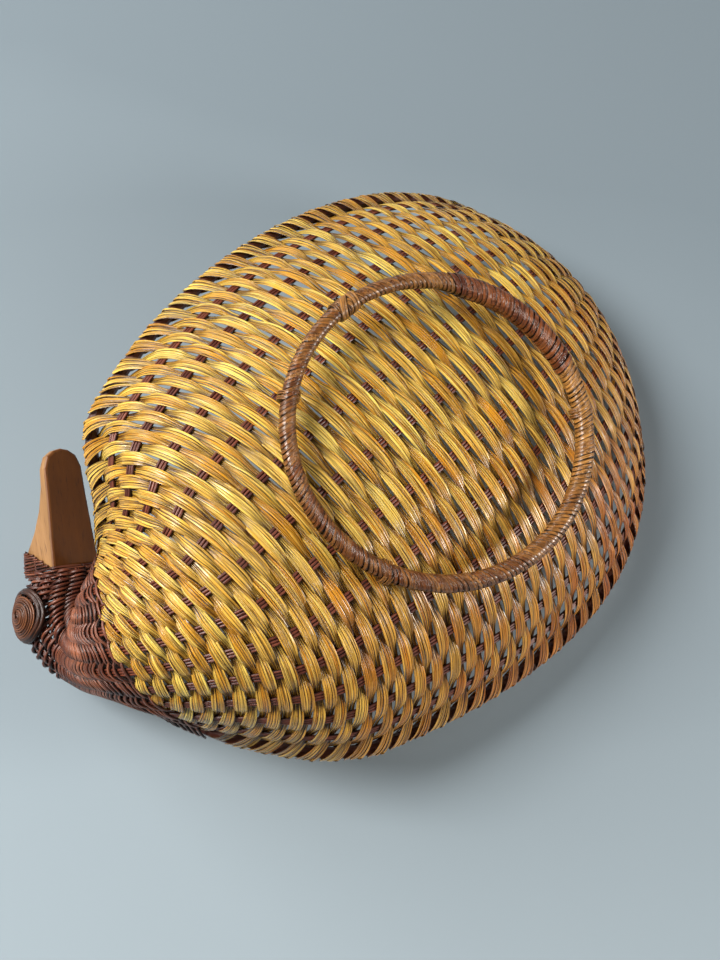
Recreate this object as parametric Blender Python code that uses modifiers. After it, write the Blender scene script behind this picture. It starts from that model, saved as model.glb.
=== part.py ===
"""Duck-shaped wicker basket: a rib-built bowl whose ribs run on into a neck turned back over the left side.

Metres, +Z up, +X towards the breast, +Y to the duck's left. The foot hoop stands on Z = 0.
The footprint is centred on X = Y = 0. Every piece follows one surface, the skin: a row of stations from
the tail to the bill, each an open arc in the bowl that closes to a full ring in the neck.
"""

import math

import bmesh
import bpy
import numpy as np
from mathutils import Matrix

# The bowl
BODY_LENGTH = 0.306
BODY_WIDTH = 0.228
BOWL_DEPTH = 0.0735
BODY_MIDDLE_X = 0.007
BODY_SWAY = 0.003
WALL_THICKNESS = 0.0026
RIB_COUNT = 12
RIB_DIAMETER = 0.0036
NECK_ROD_DIAMETER = 0.0022
RIM_DIAMETER = 0.005

# The neck and the head
HEAD_RISE = 0.043
NECK_RADIUS = 0.018

# The foot
FOOT_LENGTH = 0.129
FOOT_WIDTH = 0.119
FOOT_DIAMETER = 0.008
FOOT_MIDDLE_X = -0.004
FOOT_TURN = math.radians(16)
FOOT_FLAT_DEPTH = 0.0005
FOOT_CORE_DIAMETER = 0.0026
SPLICE_DIAMETER = 0.0104
KNOT_DIAMETER = 0.0018
KNOT_TURNS = 3
LASHING_DIAMETER = 0.0016
LASHING_TURNS = 2

# The bill
BILL_LENGTH = 0.051
BILL_WIDTH = 0.023
BILL_HEIGHT = 0.026
BILL_TIP_HEIGHT = 0.0035
BILL_TENON_LENGTH = 0.012
BILL_ROLL = math.radians(26)
BILL_EDGE_RADIUS = 0.001

# The eyes
EYE_RADIUS = 0.0105
EYE_STRAND_DIAMETER = 0.0021
EYE_TURNS = 3

# Clearances between pieces
CLEARANCE = 0.0003
SEAT_GAP = 0.0007
RIB_GAP = 0.0009
BAND_GAP = 0.0004
CUT_OVERRUN = 0.01

# The bowl's plan and depth along the ribs
WIDTH_POWER_SHARE = 0.9
DEPTH_POWER_SHARE = 0.65
WIDTH_TAPER_SHARE = 0.17
DEPTH_TAPER_SHARE = -0.08
RIM_ANGLE = math.radians(72.5)
BOWL_END_ANGLE = 2.1
BOWL_STATIONS = 22

# From the shoulders to the bill, one row a station: X as a share of half the body's length,
# Y of half its width, rise of HEAD_RISE, heading and pitch of the section in degrees, half width
# and depth as shares of half the body's width, then of NECK_RADIUS, and the rim's angle in degrees
FRONT_STATION_SHARES = (
    (0.601, 0.035, -0.01, 3, 0, 0.505, 0.434, 1.00, 76),
    (0.673, 0.060, 0.02, 9, 3, 0.330, 0.368, 1.00, 83),
    (0.732, 0.105, 0.13, 16, 16, 0.195, 0.263, 1.00, 94),
    (0.784, 0.150, 0.31, 27, 36, 0.080, 0.125, 1.00, 114),
    (0.814, 0.170, 0.57, 47, 44, 0.026, 0.035, 1.00, 148),
    (0.830, 0.211, 0.80, 71, 36, 0.000, 0.000, 0.99, 180),
    (0.824, 0.272, 0.94, 92, 25, 0.000, 0.000, 1.01, 180),
    (0.804, 0.333, 1.00, 108, 14, 0.000, 0.000, 1.05, 180),
    (0.765, 0.395, 0.98, 118, 3, 0.000, 0.000, 1.00, 180),
    (0.725, 0.456, 0.92, 121, -7, 0.000, 0.000, 0.82, 180),
)
STATION_STEP_SHARE = 0.7
TAIL_START_ANGLE = 0.16
BAND_START_ANGLES = (0.95, 1.75)
BREAST_STATION_SHARE = 0.15
HEAD_STATION = 7
EYE_STATION_SHARES = (0.1, 0.1)
RIB_START_ANGLE = 0.24
SLANT_POWER_SHARE = 1.65
RIM_END_ANGLE = math.radians(166)
TAIL_CAP_SHARES = (0.4, 0.75, 1.0)
TURN_POINTS = 24

# Plan of the bill from its base to its round tip, as shares of its length and of half its width
BILL_PLAN_SHARES = (
    (0.0, 1.0), (0.3, 0.92), (0.6, 0.84), (0.84, 0.8), (0.94, 0.62), (0.985, 0.32), (1.0, 0.0)
)
# Its top line from the base, as shares of its length and of its height above the tip's
BILL_TOP_SHARES = ((0.0, 0.8), (0.16, 0.72), (0.33, 0.42), (0.5, 0.21), (0.7, 0.08), (1.0, 0.0))
BILL_UNDERSIDE_SHARE = 0.3
SPLICE_ANGLES = (math.radians(118), math.radians(176))
KNOT_ANGLE = math.radians(74)
LASHING_ANGLES = (math.radians(-42), math.radians(34), math.radians(196))
WINDING_PITCH_SHARE = 1.35

STRAW = (0.62, 0.40, 0.12)
RED_BROWN = (0.14, 0.045, 0.026)
DARK_WEAVE = (0.20, 0.075, 0.045)
FOOT_BROWN = (0.27, 0.11, 0.045)
BILL_WOOD = (0.42, 0.22, 0.10)


def clear_scene():
    for obj in list(bpy.data.objects):
        bpy.data.objects.remove(obj)


def material(name, colour, roughness):
    made = bpy.data.materials.new(name)
    made.use_nodes = True
    shader = made.node_tree.nodes["Principled BSDF"]
    shader.inputs["Base Color"].default_value = (*colour, 1)
    shader.inputs["Roughness"].default_value = roughness
    shader.inputs["Metallic"].default_value = 0
    return made


def collection(name):
    made = bpy.data.collections.new(name)
    bpy.context.scene.collection.children.link(made)
    return made


def slopes(keys, values, limited):
    """Slope at each key: the mean of its two chords, or their harmonic mean where it may not overshoot."""
    chords = np.diff(values, axis=0) / np.diff(keys)[:, None]
    before, after = chords[:-1], chords[1:]
    mean = (before + after) / 2
    if limited:
        same = before * after > 0
        total = np.where(same, before + after, 1)
        mean = np.where(same, 2 * before * after / total, 0)
    return np.vstack([chords[:1], mean, chords[-1:]])


def hermite(keys, values, slope, t):
    """Cubic through the values at the keys, with the given slopes."""
    t = np.asarray(t, float)
    span = np.clip(np.searchsorted(keys, t, side="right") - 1, 0, len(keys) - 2)
    width = keys[span + 1] - keys[span]
    u = ((t - keys[span]) / width)[..., None]
    width = width[..., None]
    return (
        (2 * u**3 - 3 * u**2 + 1) * values[span]
        + (u**3 - 2 * u**2 + u) * width * slope[span]
        + (3 * u**2 - 2 * u**3) * values[span + 1]
        + (u**3 - u**2) * width * slope[span + 1]
    )


def bowl_section(phi):
    """X from the middle, half width and depth of the bowl's section at phi, 0 at the tail."""
    x = BODY_MIDDLE_X - BODY_LENGTH / 2 * np.cos(phi)
    swell = np.abs(np.sin(phi))
    width = BODY_WIDTH / 2 * swell**WIDTH_POWER_SHARE * (1 + WIDTH_TAPER_SHARE * np.cos(phi))
    return x, width, BOWL_DEPTH * swell**DEPTH_POWER_SHARE * (1 + DEPTH_TAPER_SHARE * np.cos(phi))


def sway(phi):
    """The bowl's centre line swings a little left at the shoulders and right before the tail."""
    return -BODY_SWAY * np.sin(math.pi * np.cos(phi))


def foot_path(angle):
    """Centre line of the foot hoop: an oval turned a little about the vertical."""
    long, wide = FOOT_LENGTH / 2 * np.cos(angle), FOOT_WIDTH / 2 * np.sin(angle)
    x = FOOT_MIDDLE_X + long * math.cos(FOOT_TURN) - wide * math.sin(FOOT_TURN)
    y = long * math.sin(FOOT_TURN) + wide * math.cos(FOOT_TURN)
    return x, y


def belly_depth(x, y):
    """How far the bowl hangs below its axis at a place in plan."""
    phi = np.arccos(np.clip((BODY_MIDDLE_X - x) / (BODY_LENGTH / 2), -1, 1))
    _, width, depth = bowl_section(phi)
    return depth * np.sqrt(np.clip(1 - ((y - sway(phi)) / width) ** 2, 0, 1))


def axis_height():
    """Height of the bowl's axis that seats the belly on the foot hoop."""
    x, y = foot_path(np.linspace(0, 2 * math.pi, 181))
    return FOOT_DIAMETER - FOOT_FLAT_DEPTH + SEAT_GAP + belly_depth(x, y).max()


AXIS_HEIGHT = axis_height()
FOOT_AXIS_HEIGHT = FOOT_DIAMETER / 2 - FOOT_FLAT_DEPTH


def stations():
    """Keys, spine points and section values (heading, pitch, half width, depth, rim angle) of the skin."""
    keys = list(np.linspace(0, BOWL_END_ANGLE, BOWL_STATIONS))
    spine, sections = [], []
    for phi in keys:
        x, width, depth = bowl_section(phi)
        spine.append((x, sway(phi), AXIS_HEIGHT))
        sections.append((0, 0, width, depth, RIM_ANGLE))
    for along, across, rise, heading, pitch, wide, deep, neck, rim in FRONT_STATION_SHARES:
        x = BODY_MIDDLE_X + along * BODY_LENGTH / 2
        spot = (x, across * BODY_WIDTH / 2, AXIS_HEIGHT + rise * HEAD_RISE)
        keys.append(keys[-1] + math.dist(spot, spine[-1]) / (BODY_LENGTH / 2 * STATION_STEP_SHARE))
        spine.append(spot)
        width = wide * BODY_WIDTH / 2 + neck * NECK_RADIUS
        depth = deep * BODY_WIDTH / 2 + neck * NECK_RADIUS
        sections.append((math.radians(heading), math.radians(pitch), width, depth, math.radians(rim)))
    return np.array(keys), np.array(spine), np.array(sections)


KEYS, SPINE, SECTIONS = stations()
SPINE_SLOPES = slopes(KEYS, SPINE, False)
SECTION_SLOPES = slopes(KEYS, SECTIONS, True)
SKIN_END = KEYS[-1]
BREAST_START = np.interp(BREAST_STATION_SHARE, (0, 1), KEYS[BOWL_STATIONS + 2 : BOWL_STATIONS + 4])
NECK_START = KEYS[np.argmax(SECTIONS[:, 4] >= math.pi)]
HEAD_START = KEYS[BOWL_STATIONS + HEAD_STATION]
EYE_STATIONS = [HEAD_START + (SKIN_END - HEAD_START) * share for share in EYE_STATION_SHARES]


def section(t):
    return hermite(KEYS, SECTIONS, SECTION_SLOPES, t)


def bare_skin(t, angle):
    """A point of the skin: the spine at t, plus the arc of the section at an angle from the keel."""
    spine = hermite(KEYS, SPINE, SPINE_SLOPES, t)
    heading, pitch, width, depth, _ = np.moveaxis(section(t), -1, 0)
    flat = np.zeros_like(heading)
    left = np.stack([-np.sin(heading), np.cos(heading), flat], -1)
    up = np.stack(
        [-np.sin(pitch) * np.cos(heading), -np.sin(pitch) * np.sin(heading), np.cos(pitch)], -1
    )
    return spine + (width * np.sin(angle))[..., None] * left - (depth * np.cos(angle))[..., None] * up


def skin(t, angle, out=0.0):
    """A point that lies out from the skin along its normal. A negative distance lies inside the basket."""
    t, angle = np.broadcast_arrays(np.asarray(t, float), np.asarray(angle, float))
    if out == 0:
        return bare_skin(t, angle)
    step = 1e-4
    along = bare_skin(t + step, angle) - bare_skin(t - step, angle)
    across = bare_skin(t, angle + step) - bare_skin(t, angle - step)
    normal = np.cross(across, along)
    normal /= np.linalg.norm(normal, axis=-1, keepdims=True)
    return bare_skin(t, angle) + out * normal


def rim_end():
    """Key at which the rim rod ends, a little before the neck closes."""
    t = np.linspace(BOWL_END_ANGLE, NECK_START, 400)
    return t[np.argmax(section(t)[:, 4] >= RIM_END_ANGLE)]


def wall_edge(t, side):
    """Angle of the woven wall's edge on a side, so far short of the rim rod that the two stay clear."""
    step = 1e-4
    closed = t >= NECK_START
    t = np.minimum(t, rim_end() - step)
    rim, ahead = side * section(t)[..., 4], side * section(t + step)[..., 4]
    along = bare_skin(t + step, ahead) - bare_skin(t, rim)
    across = (bare_skin(t, rim) - bare_skin(t, rim - side * step)) / step
    reach = np.linalg.norm(across, axis=-1)
    slant = np.linalg.norm(np.cross(along, across), axis=-1) / np.linalg.norm(along, axis=-1) / reach
    short = (RIM_DIAMETER / 2 + SEAT_GAP) / reach / slant**SLANT_POWER_SHARE
    return np.where(closed, side * math.pi, rim - side * short)


def add_object(name, mesh, home, paint):
    obj = bpy.data.objects.new(name, mesh)
    home.objects.link(obj)
    obj.data.materials.append(paint)
    return obj


def sheet(name, points, home, paint):
    """A stretch of the wall: a grid of points on the skin, thickened inwards."""
    mesh = bpy.data.meshes.new(name)
    shape = bmesh.new()
    verts = [[shape.verts.new(point) for point in row] for row in points]
    for lower, upper in zip(verts[:-1], verts[1:]):
        for a, b, c, d in zip(lower[:-1], lower[1:], upper[1:], upper[:-1]):
            shape.faces.new((a, b, c, d))
    bmesh.ops.remove_doubles(shape, verts=shape.verts, dist=CLEARANCE / 3)
    shape.to_mesh(mesh)
    shape.free()
    obj = add_object(name, mesh, home, paint)
    mesh.shade_smooth()
    wall = obj.modifiers.new("wall", "SOLIDIFY")
    wall.thickness = WALL_THICKNESS
    wall.offset = -1
    return obj


def band_points(start, end, rows, columns):
    t = np.linspace(start, end, rows)[:, None]
    share = np.linspace(0, 1, columns)[None, :]
    return skin(t, wall_edge(t, -1) * (1 - share) + wall_edge(t, 1) * share)


def tail_bulge():
    """How far the tail's round end lies behind the last full section."""
    return skin(TAIL_START_ANGLE, 0.0)[0] - (BODY_MIDDLE_X - BODY_LENGTH / 2)


def tail_cap(arc):
    """Rows that close the tail: the first section's arc drawn up to the chord between its two ends."""
    share = np.linspace(-1, 1, len(arc))[:, None]
    chord = arc[:1] * (1 - share) / 2 + arc[-1:] * (1 + share) / 2
    chord[:, 0] -= tail_bulge() * (1 - share[:, 0] ** 2)
    rows = []
    for toward in TAIL_CAP_SHARES:
        row = arc * (1 - toward) + chord * toward
        belly = tail_bulge() * (1 - share[:, 0] ** 2) * toward * (1 - toward)
        row[:, 0] -= belly
        rows.append(row)
    return np.array(rows[::-1])


def tube(name, points, diameter, home, paint, resolution=2, cyclic=False, radii=None):
    """A round rod along the points: a poly curve with a bevel and filled caps."""
    curve = bpy.data.curves.new(name, "CURVE")
    curve.dimensions = "3D"
    curve.bevel_depth = diameter / 2
    curve.bevel_resolution = resolution
    curve.use_fill_caps = not cyclic
    spline = curve.splines.new("POLY")
    spline.points.add(len(points) - 1)
    for k, point in enumerate(points):
        spline.points[k].co = (*point, 1)
        spline.points[k].radius = 1 if radii is None else radii[k]
    spline.use_cyclic_u = cyclic
    spline.use_smooth = True
    return add_object(name, curve, home, paint)


def as_mesh(obj):
    """The curve object as a mesh object of the same name, with its caps welded."""
    graph = bpy.context.evaluated_depsgraph_get()
    mesh = bpy.data.meshes.new_from_object(obj.evaluated_get(graph))
    shape = bmesh.new()
    shape.from_mesh(mesh)
    bmesh.ops.remove_doubles(shape, verts=shape.verts, dist=CLEARANCE / 100)
    shape.to_mesh(mesh)
    shape.free()
    name, home, place = obj.name, obj.users_collection[0], obj.matrix_world.copy()
    bpy.data.objects.remove(obj)
    made = bpy.data.objects.new(name, mesh)
    made.matrix_world = place
    home.objects.link(made)
    return made


def cutter_of(mesh_name, mesh, cutters):
    obj = bpy.data.objects.new(mesh_name, mesh)
    cutters.objects.link(obj)
    obj.hide_render = True
    obj.display_type = "WIRE"
    return obj


def box_mesh(name, size, centre):
    mesh = bpy.data.meshes.new(name)
    shape = bmesh.new()
    bmesh.ops.create_cube(shape, size=1)
    bmesh.ops.scale(shape, vec=size, verts=shape.verts)
    bmesh.ops.translate(shape, vec=centre, verts=shape.verts)
    shape.to_mesh(mesh)
    shape.free()
    return mesh


def boolean(obj, other, operation):
    cut = obj.modifiers.new(operation.lower(), "BOOLEAN")
    cut.operation = operation
    cut.object = other


def make_walls(home):
    gold = material("gold_straw", STRAW, 0.45)
    brown = material("brown_strand", DARK_WEAVE, 0.55)
    gap = BAND_GAP / (BODY_LENGTH / 2)
    first, second = BAND_START_ANGLES
    tail = band_points(TAIL_START_ANGLE, first - gap, 9, 19)
    sheet("weave_tail", np.concatenate([tail_cap(tail[0]), tail]), home, gold)
    sheet("weave_middle", band_points(first + gap, second - gap, 8, 19), home, gold)
    sheet("weave_front", band_points(second + gap, BREAST_START - gap, 13, 19), home, gold)
    sheet("breast_weave", band_points(BREAST_START + gap, NECK_START - gap, 15, 21), home, brown)
    sheet("neck_weave", band_points(NECK_START, HEAD_START - gap, 7, 21), home, brown)
    sheet("head_weave", band_points(HEAD_START + gap, SKIN_END, 6, 21), home, brown)


def make_ribs(home):
    """Rods on the inside of the wall, evenly spread between the rims, from the tail to the bill."""
    paint = material("rib_rod", RED_BROWN, 0.5)
    inside = -(WALL_THICKNESS + RIB_GAP + RIB_DIAMETER / 2)
    _, second = BAND_START_ANGLES
    rear = np.linspace(RIB_START_ANGLE, second, 8)[:-1]
    front = np.linspace(second, BREAST_START, 7)[:-1]
    t = np.concatenate([rear, front, np.linspace(BREAST_START, SKIN_END, 19)])
    rim = section(t)[:, 4]
    thin = NECK_ROD_DIAMETER / RIB_DIAMETER
    radii = 1 - (1 - thin) * np.clip((t - BOWL_END_ANGLE) / (BREAST_START - BOWL_END_ANGLE), 0, 1)
    for number in range(1, RIB_COUNT + 1):
        share = (RIB_COUNT + 1 - 2 * number) / (RIB_COUNT + 1.6)
        points = skin(t, rim * share, inside)
        tube(f"rib_{number:02d}", points, RIB_DIAMETER, home, paint, resolution=1, radii=radii)


def make_rim(home):
    """One rod round the mouth: down the neck's left side, round the tail and back up the right side."""
    t = np.linspace(rim_end(), TAIL_START_ANGLE, 30)
    left = skin(t, section(t)[:, 4], -WALL_THICKNESS / 2)
    right = skin(t, -section(t)[:, 4], -WALL_THICKNESS / 2)
    share = np.linspace(1, -1, 7)[1:-1, None]
    tail = left[-1:] * (1 + share) / 2 + right[-1:] * (1 - share) / 2
    tail[:, 0] -= tail_bulge() * (1 - share[:, 0] ** 2)
    points = np.vstack([left, tail, right[::-1]])
    return tube("rim_hoop", points, RIM_DIAMETER, home, material("rim_rod", RED_BROWN, 0.5))


def foot_arc(start, end, count):
    angles = np.linspace(start, end, count)
    x, y = foot_path(angles)
    return angles, np.stack([x, y, np.full_like(x, FOOT_AXIS_HEIGHT)], -1)


def winding_half_length(strand, turns):
    """Half the length along the hoop that the turns of a strand take up."""
    return (turns * WINDING_PITCH_SHARE + 1) * strand / 2


def make_foot(home, cutters):
    """The hoop and its thick splice, cut flat where they stand, with the knot and the lashings."""
    paint = material("foot_binding", FOOT_BROWN, 0.5)
    dark = material("foot_splice", RED_BROWN, 0.5)
    mean_radius = (FOOT_LENGTH + FOOT_WIDTH) / 4
    reach = FOOT_LENGTH + 2 * CUT_OVERRUN
    floor = box_mesh("floor_cut", (reach, reach, CUT_OVERRUN), (FOOT_MIDDLE_X, 0, -CUT_OVERRUN / 2))
    floor = cutter_of("floor_cut", floor, cutters)
    gap = CLEARANCE / mean_radius
    start, end = SPLICE_ANGLES
    _, points = foot_arc(start + gap, end - gap, 19)
    points[:, 2] += (SPLICE_DIAMETER - FOOT_DIAMETER) / 2
    splice = as_mesh(tube("foot_splice", points, SPLICE_DIAMETER, home, dark))
    boolean(splice, floor, "DIFFERENCE")
    windings = [(KNOT_ANGLE, winding_half_length(KNOT_DIAMETER, KNOT_TURNS))]
    windings += [(angle, winding_half_length(LASHING_DIAMETER, LASHING_TURNS)) for angle in LASHING_ANGLES]
    angles = np.linspace(end + gap, start - gap + 2 * math.pi, 73)
    bare = np.zeros_like(angles, bool)
    extra = []
    for spot, half_length in windings:
        middle = (spot - end) % (2 * math.pi) + end
        half = half_length / mean_radius + 2 * gap
        bare |= np.abs(angles - middle) < half + 3 * gap
        extra += [(middle - half - 2 * gap, 1), (middle - half, 0)]
        extra += [(middle + half, 0), (middle + half + 2 * gap, 1)]
    steps = sorted([(angle, 1) for angle in angles[~bare]] + extra)
    angles, full = np.array(steps).T
    x, y = foot_path(angles)
    points = np.stack([x, y, np.full_like(x, FOOT_AXIS_HEIGHT)], -1)
    waist = FOOT_CORE_DIAMETER / FOOT_DIAMETER
    hoop = as_mesh(tube("foot_hoop", points, FOOT_DIAMETER, home, paint, radii=waist + (1 - waist) * full))
    boolean(hoop, floor, "DIFFERENCE")
    make_winding("foot_knot", KNOT_ANGLE, KNOT_DIAMETER, KNOT_TURNS, home, paint)
    for name, spot in zip(("front", "left", "rear"), LASHING_ANGLES):
        make_winding(f"foot_lashing_{name}", spot, LASHING_DIAMETER, LASHING_TURNS, home, dark)


def make_winding(name, spot, strand, turns, home, paint):
    """Turns of a strand round the hoop's bare core and up to the belly, as one unbroken helix."""
    turn = np.linspace(0, turns, turns * TURN_POINTS + 1)
    x, y = foot_path(spot)
    nudge = 1e-3
    ahead_x, ahead_y = foot_path(spot + nudge)
    along = np.array([ahead_x - x, ahead_y - y, 0])
    along /= np.linalg.norm(along)
    outward = np.array([along[1], -along[0], 0])
    spread = FOOT_DIAMETER / 2
    low = strand / 2 + CLEARANCE / 3
    travel = turns * strand * WINDING_PITCH_SHARE
    places = [foot_path(spot + side * travel / FOOT_WIDTH) for side in (-1, 0, 1)]
    sides = (spread * outward[:2], -spread * outward[:2])
    places = np.array([(px + dx, py + dy) for px, py in places for dx, dy in sides])
    belly = AXIS_HEIGHT - belly_depth(places[:, 0], places[:, 1]).max()
    high = belly - strand / 2 - SEAT_GAP
    wave = turn * 2 * math.pi
    points = (
        np.array([x, y, 0])
        + (spread * np.sin(wave))[:, None] * outward
        + ((high + low) / 2 - (high - low) / 2 * np.cos(wave))[:, None] * np.array([0, 0, 1])
        + ((turn / turns - 1 / 2) * travel)[:, None] * along
    )
    print(f"{name}: {turns} turns, {least_gap(points, strand) * 1000:.2f} mm least gap to itself")
    return tube(name, points, strand, home, paint, resolution=1)


def least_gap(points, strand):
    """Least gap between a strand's parts that lie over half a turn apart along it."""
    far = TURN_POINTS // 2
    best = math.inf
    for k in range(far, len(points)):
        best = min(best, np.linalg.norm(points[: k - far + 1] - points[k], axis=1).min())
    return best - strand


def head_frame():
    """Axis, right side and top of the head where the bill is let in, rolled a little to its right."""
    heading, pitch = SECTIONS[-1][:2]
    forward = np.array(
        [math.cos(pitch) * math.cos(heading), math.cos(pitch) * math.sin(heading), math.sin(pitch)]
    )
    right = np.array([math.sin(heading), -math.cos(heading), 0])
    top = np.cross(right, forward)
    return (
        forward,
        math.cos(BILL_ROLL) * right - math.sin(BILL_ROLL) * top,
        math.cos(BILL_ROLL) * top + math.sin(BILL_ROLL) * right,
    )


def flat_block(name, outline, thickness):
    """A filled outline drawn in XY, thickened both ways along Z, as a mesh."""
    curve = bpy.data.curves.new(name, "CURVE")
    curve.dimensions = "2D"
    curve.fill_mode = "BOTH"
    curve.extrude = thickness / 2
    spline = curve.splines.new("POLY")
    spline.points.add(len(outline) - 1)
    for k, (x, y) in enumerate(outline):
        spline.points[k].co = (x, y, 0, 1)
    spline.use_cyclic_u = True
    obj = bpy.data.objects.new(name, curve)
    bpy.context.scene.collection.objects.link(obj)
    return as_mesh(obj)


def make_bill(home, cutters):
    """A block sawn to its plan, then to its side view, with a round tenon into the neck's rods."""
    half = BILL_WIDTH / 2
    plan = [(along * BILL_LENGTH, share * half) for along, share in BILL_PLAN_SHARES]
    plan += [(x, -y) for x, y in reversed(plan[:-1])]
    bill = flat_block("bill", plan, 3 * BILL_HEIGHT)
    rise = BILL_HEIGHT - BILL_TIP_HEIGHT
    top = [(along * BILL_LENGTH, BILL_TIP_HEIGHT + share * rise) for along, share in BILL_TOP_SHARES]
    low = -BILL_UNDERSIDE_SHARE * BILL_HEIGHT
    side = [(x, low + z) for x, z in top]
    side[-1] = (BILL_LENGTH + CUT_OVERRUN, side[-1][1])
    side = [(-CUT_OVERRUN, side[0][1]), *side, (BILL_LENGTH + CUT_OVERRUN, low), (-CUT_OVERRUN, low)]
    profile = flat_block("bill_profile", side, 2 * BILL_WIDTH)
    profile.data.transform(Matrix.Rotation(math.pi / 2, 4, "X"))
    tenon_radius = NECK_RADIUS * FRONT_STATION_SHARES[-1][7] - WALL_THICKNESS - RIB_DIAMETER
    tenon_radius -= RIB_GAP + SEAT_GAP + CLEARANCE
    tenon = bpy.data.meshes.new("bill_tenon")
    shape = bmesh.new()
    bmesh.ops.create_cone(
        shape,
        cap_ends=True,
        segments=TURN_POINTS,
        radius1=tenon_radius,
        radius2=tenon_radius,
        depth=BILL_TENON_LENGTH + BILL_TIP_HEIGHT,
    )
    shape.to_mesh(tenon)
    shape.free()
    middle = Matrix.Translation(((BILL_TIP_HEIGHT - BILL_TENON_LENGTH) / 2, 0, 0))
    tenon.transform(middle @ Matrix.Rotation(math.pi / 2, 4, "Y"))
    peg = cutter_of("bill_tenon", tenon, cutters)
    bpy.context.scene.collection.objects.unlink(bill)
    bpy.context.scene.collection.objects.unlink(profile)
    home.objects.link(bill)
    cutters.objects.link(profile)
    profile.hide_render = True
    profile.display_type = "WIRE"
    bill.data.materials.append(material("bill_wood", BILL_WOOD, 0.4))
    forward, right, up = head_frame()
    place = Matrix.Translation(SPINE[-1] + forward * CLEARANCE) @ Matrix(
        [tuple(row) for row in np.stack([forward, -right, up], axis=1)]
    ).to_4x4()
    for obj in (bill, profile, peg):
        obj.matrix_world = place
    boolean(bill, profile, "INTERSECT")
    soften = bill.modifiers.new("soften", "BEVEL")
    soften.width = BILL_EDGE_RADIUS
    soften.segments = 2
    soften.limit_method = "ANGLE"
    soften.angle_limit = math.radians(40)
    boolean(bill, peg, "UNION")
    return bill


def make_eyes(home):
    """A strand coiled outwards on each cheek, rolled as the bill is, a true spiral as seen square on."""
    paint = material("eye_coil", RED_BROWN, 0.45)
    turn = np.linspace(0, EYE_TURNS, EYE_TURNS * TURN_POINTS + 1)
    inner = EYE_STRAND_DIAMETER / 2 + CLEARANCE
    radius = inner + (EYE_RADIUS - EYE_STRAND_DIAMETER / 2 - inner) * turn / EYE_TURNS
    across, upward = radius * np.cos(2 * math.pi * turn), radius * np.sin(2 * math.pi * turn)
    lift = EYE_STRAND_DIAMETER / 2 + RIB_GAP
    step = 1e-3
    for name, side, place in zip(("eye_right", "eye_left"), (-1, 1), EYE_STATIONS):
        girth = section(place)[2] + lift
        cheek = side * math.pi / 2 + BILL_ROLL
        middle = skin(place, cheek, lift)
        along = skin(place + step, cheek, lift) - middle
        speed = np.linalg.norm(along) / step
        along /= speed * step
        round_way = skin(place, cheek + step, lift) - middle
        round_way -= along * (round_way @ along)
        round_way /= np.linalg.norm(round_way)
        t, angle = place + across / speed, cheek + upward / girth
        for _ in range(30):
            points = skin(t, angle, lift)
            t = np.clip(t + (across - (points - middle) @ along) / speed, NECK_START, SKIN_END)
            angle = angle + (upward - (points - middle) @ round_way) / girth
        points = skin(t, angle, lift)
        gap = least_gap(points, EYE_STRAND_DIAMETER)
        print(f"{name}: {EYE_TURNS} turns, {gap * 1000:.2f} mm least gap to itself")
        tube(name, points, EYE_STRAND_DIAMETER, home, paint, resolution=1)


def centre_footprint(home, cutters):
    """Hang all pieces on an empty, placed so that the part's footprint is centred on the origin."""
    bpy.context.view_layer.update()
    graph = bpy.context.evaluated_depsgraph_get()
    lows, highs = [], []
    for obj in home.objects:
        evaluated = obj.evaluated_get(graph)
        mesh = evaluated.to_mesh()
        points = np.empty(3 * len(mesh.vertices))
        mesh.vertices.foreach_get("co", points)
        evaluated.to_mesh_clear()
        world = np.array(evaluated.matrix_world)
        points = points.reshape(-1, 3) @ world[:3, :3].T + world[:3, 3]
        lows.append(points.min(axis=0))
        highs.append(points.max(axis=0))
    middle = (np.min(lows, axis=0) + np.max(highs, axis=0)) / 2
    root = bpy.data.objects.new("duck_basket_origin", None)
    home.objects.link(root)
    root.location = (-middle[0], -middle[1], 0)
    print(f"footprint moved by {-middle[0] * 1000:.3f}, {-middle[1] * 1000:.3f} mm")
    for obj in [*home.objects, *cutters.objects]:
        if obj is not root:
            obj.parent = root


def main():
    clear_scene()
    home = collection("duck_basket")
    cutters = collection("cutters")
    make_walls(home)
    make_ribs(home)
    make_rim(home)
    make_foot(home, cutters)
    make_bill(home, cutters)
    make_eyes(home)
    centre_footprint(home, cutters)


main()
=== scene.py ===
# %% [markdown]
# # A duck-shaped wicker basket
#
# The basket is woven over twelve ribs that start at the tail, run along the bowl, and are gathered into
# a neck and a head with a wooden bill. Gold straw is woven over the bowl, brown strands over the breast,
# the neck and the head, and a bound hoop under the belly is the foot.
#
# Each strand could be drawn by hand as a curve, but there are thousands of bends. All of them follow one
# rule, so this script writes the rule as formulas on arrays of numbers, and lets numpy weave.

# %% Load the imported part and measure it
import math

import bpy
import numpy as np
from mathutils import Matrix, Vector


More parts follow.
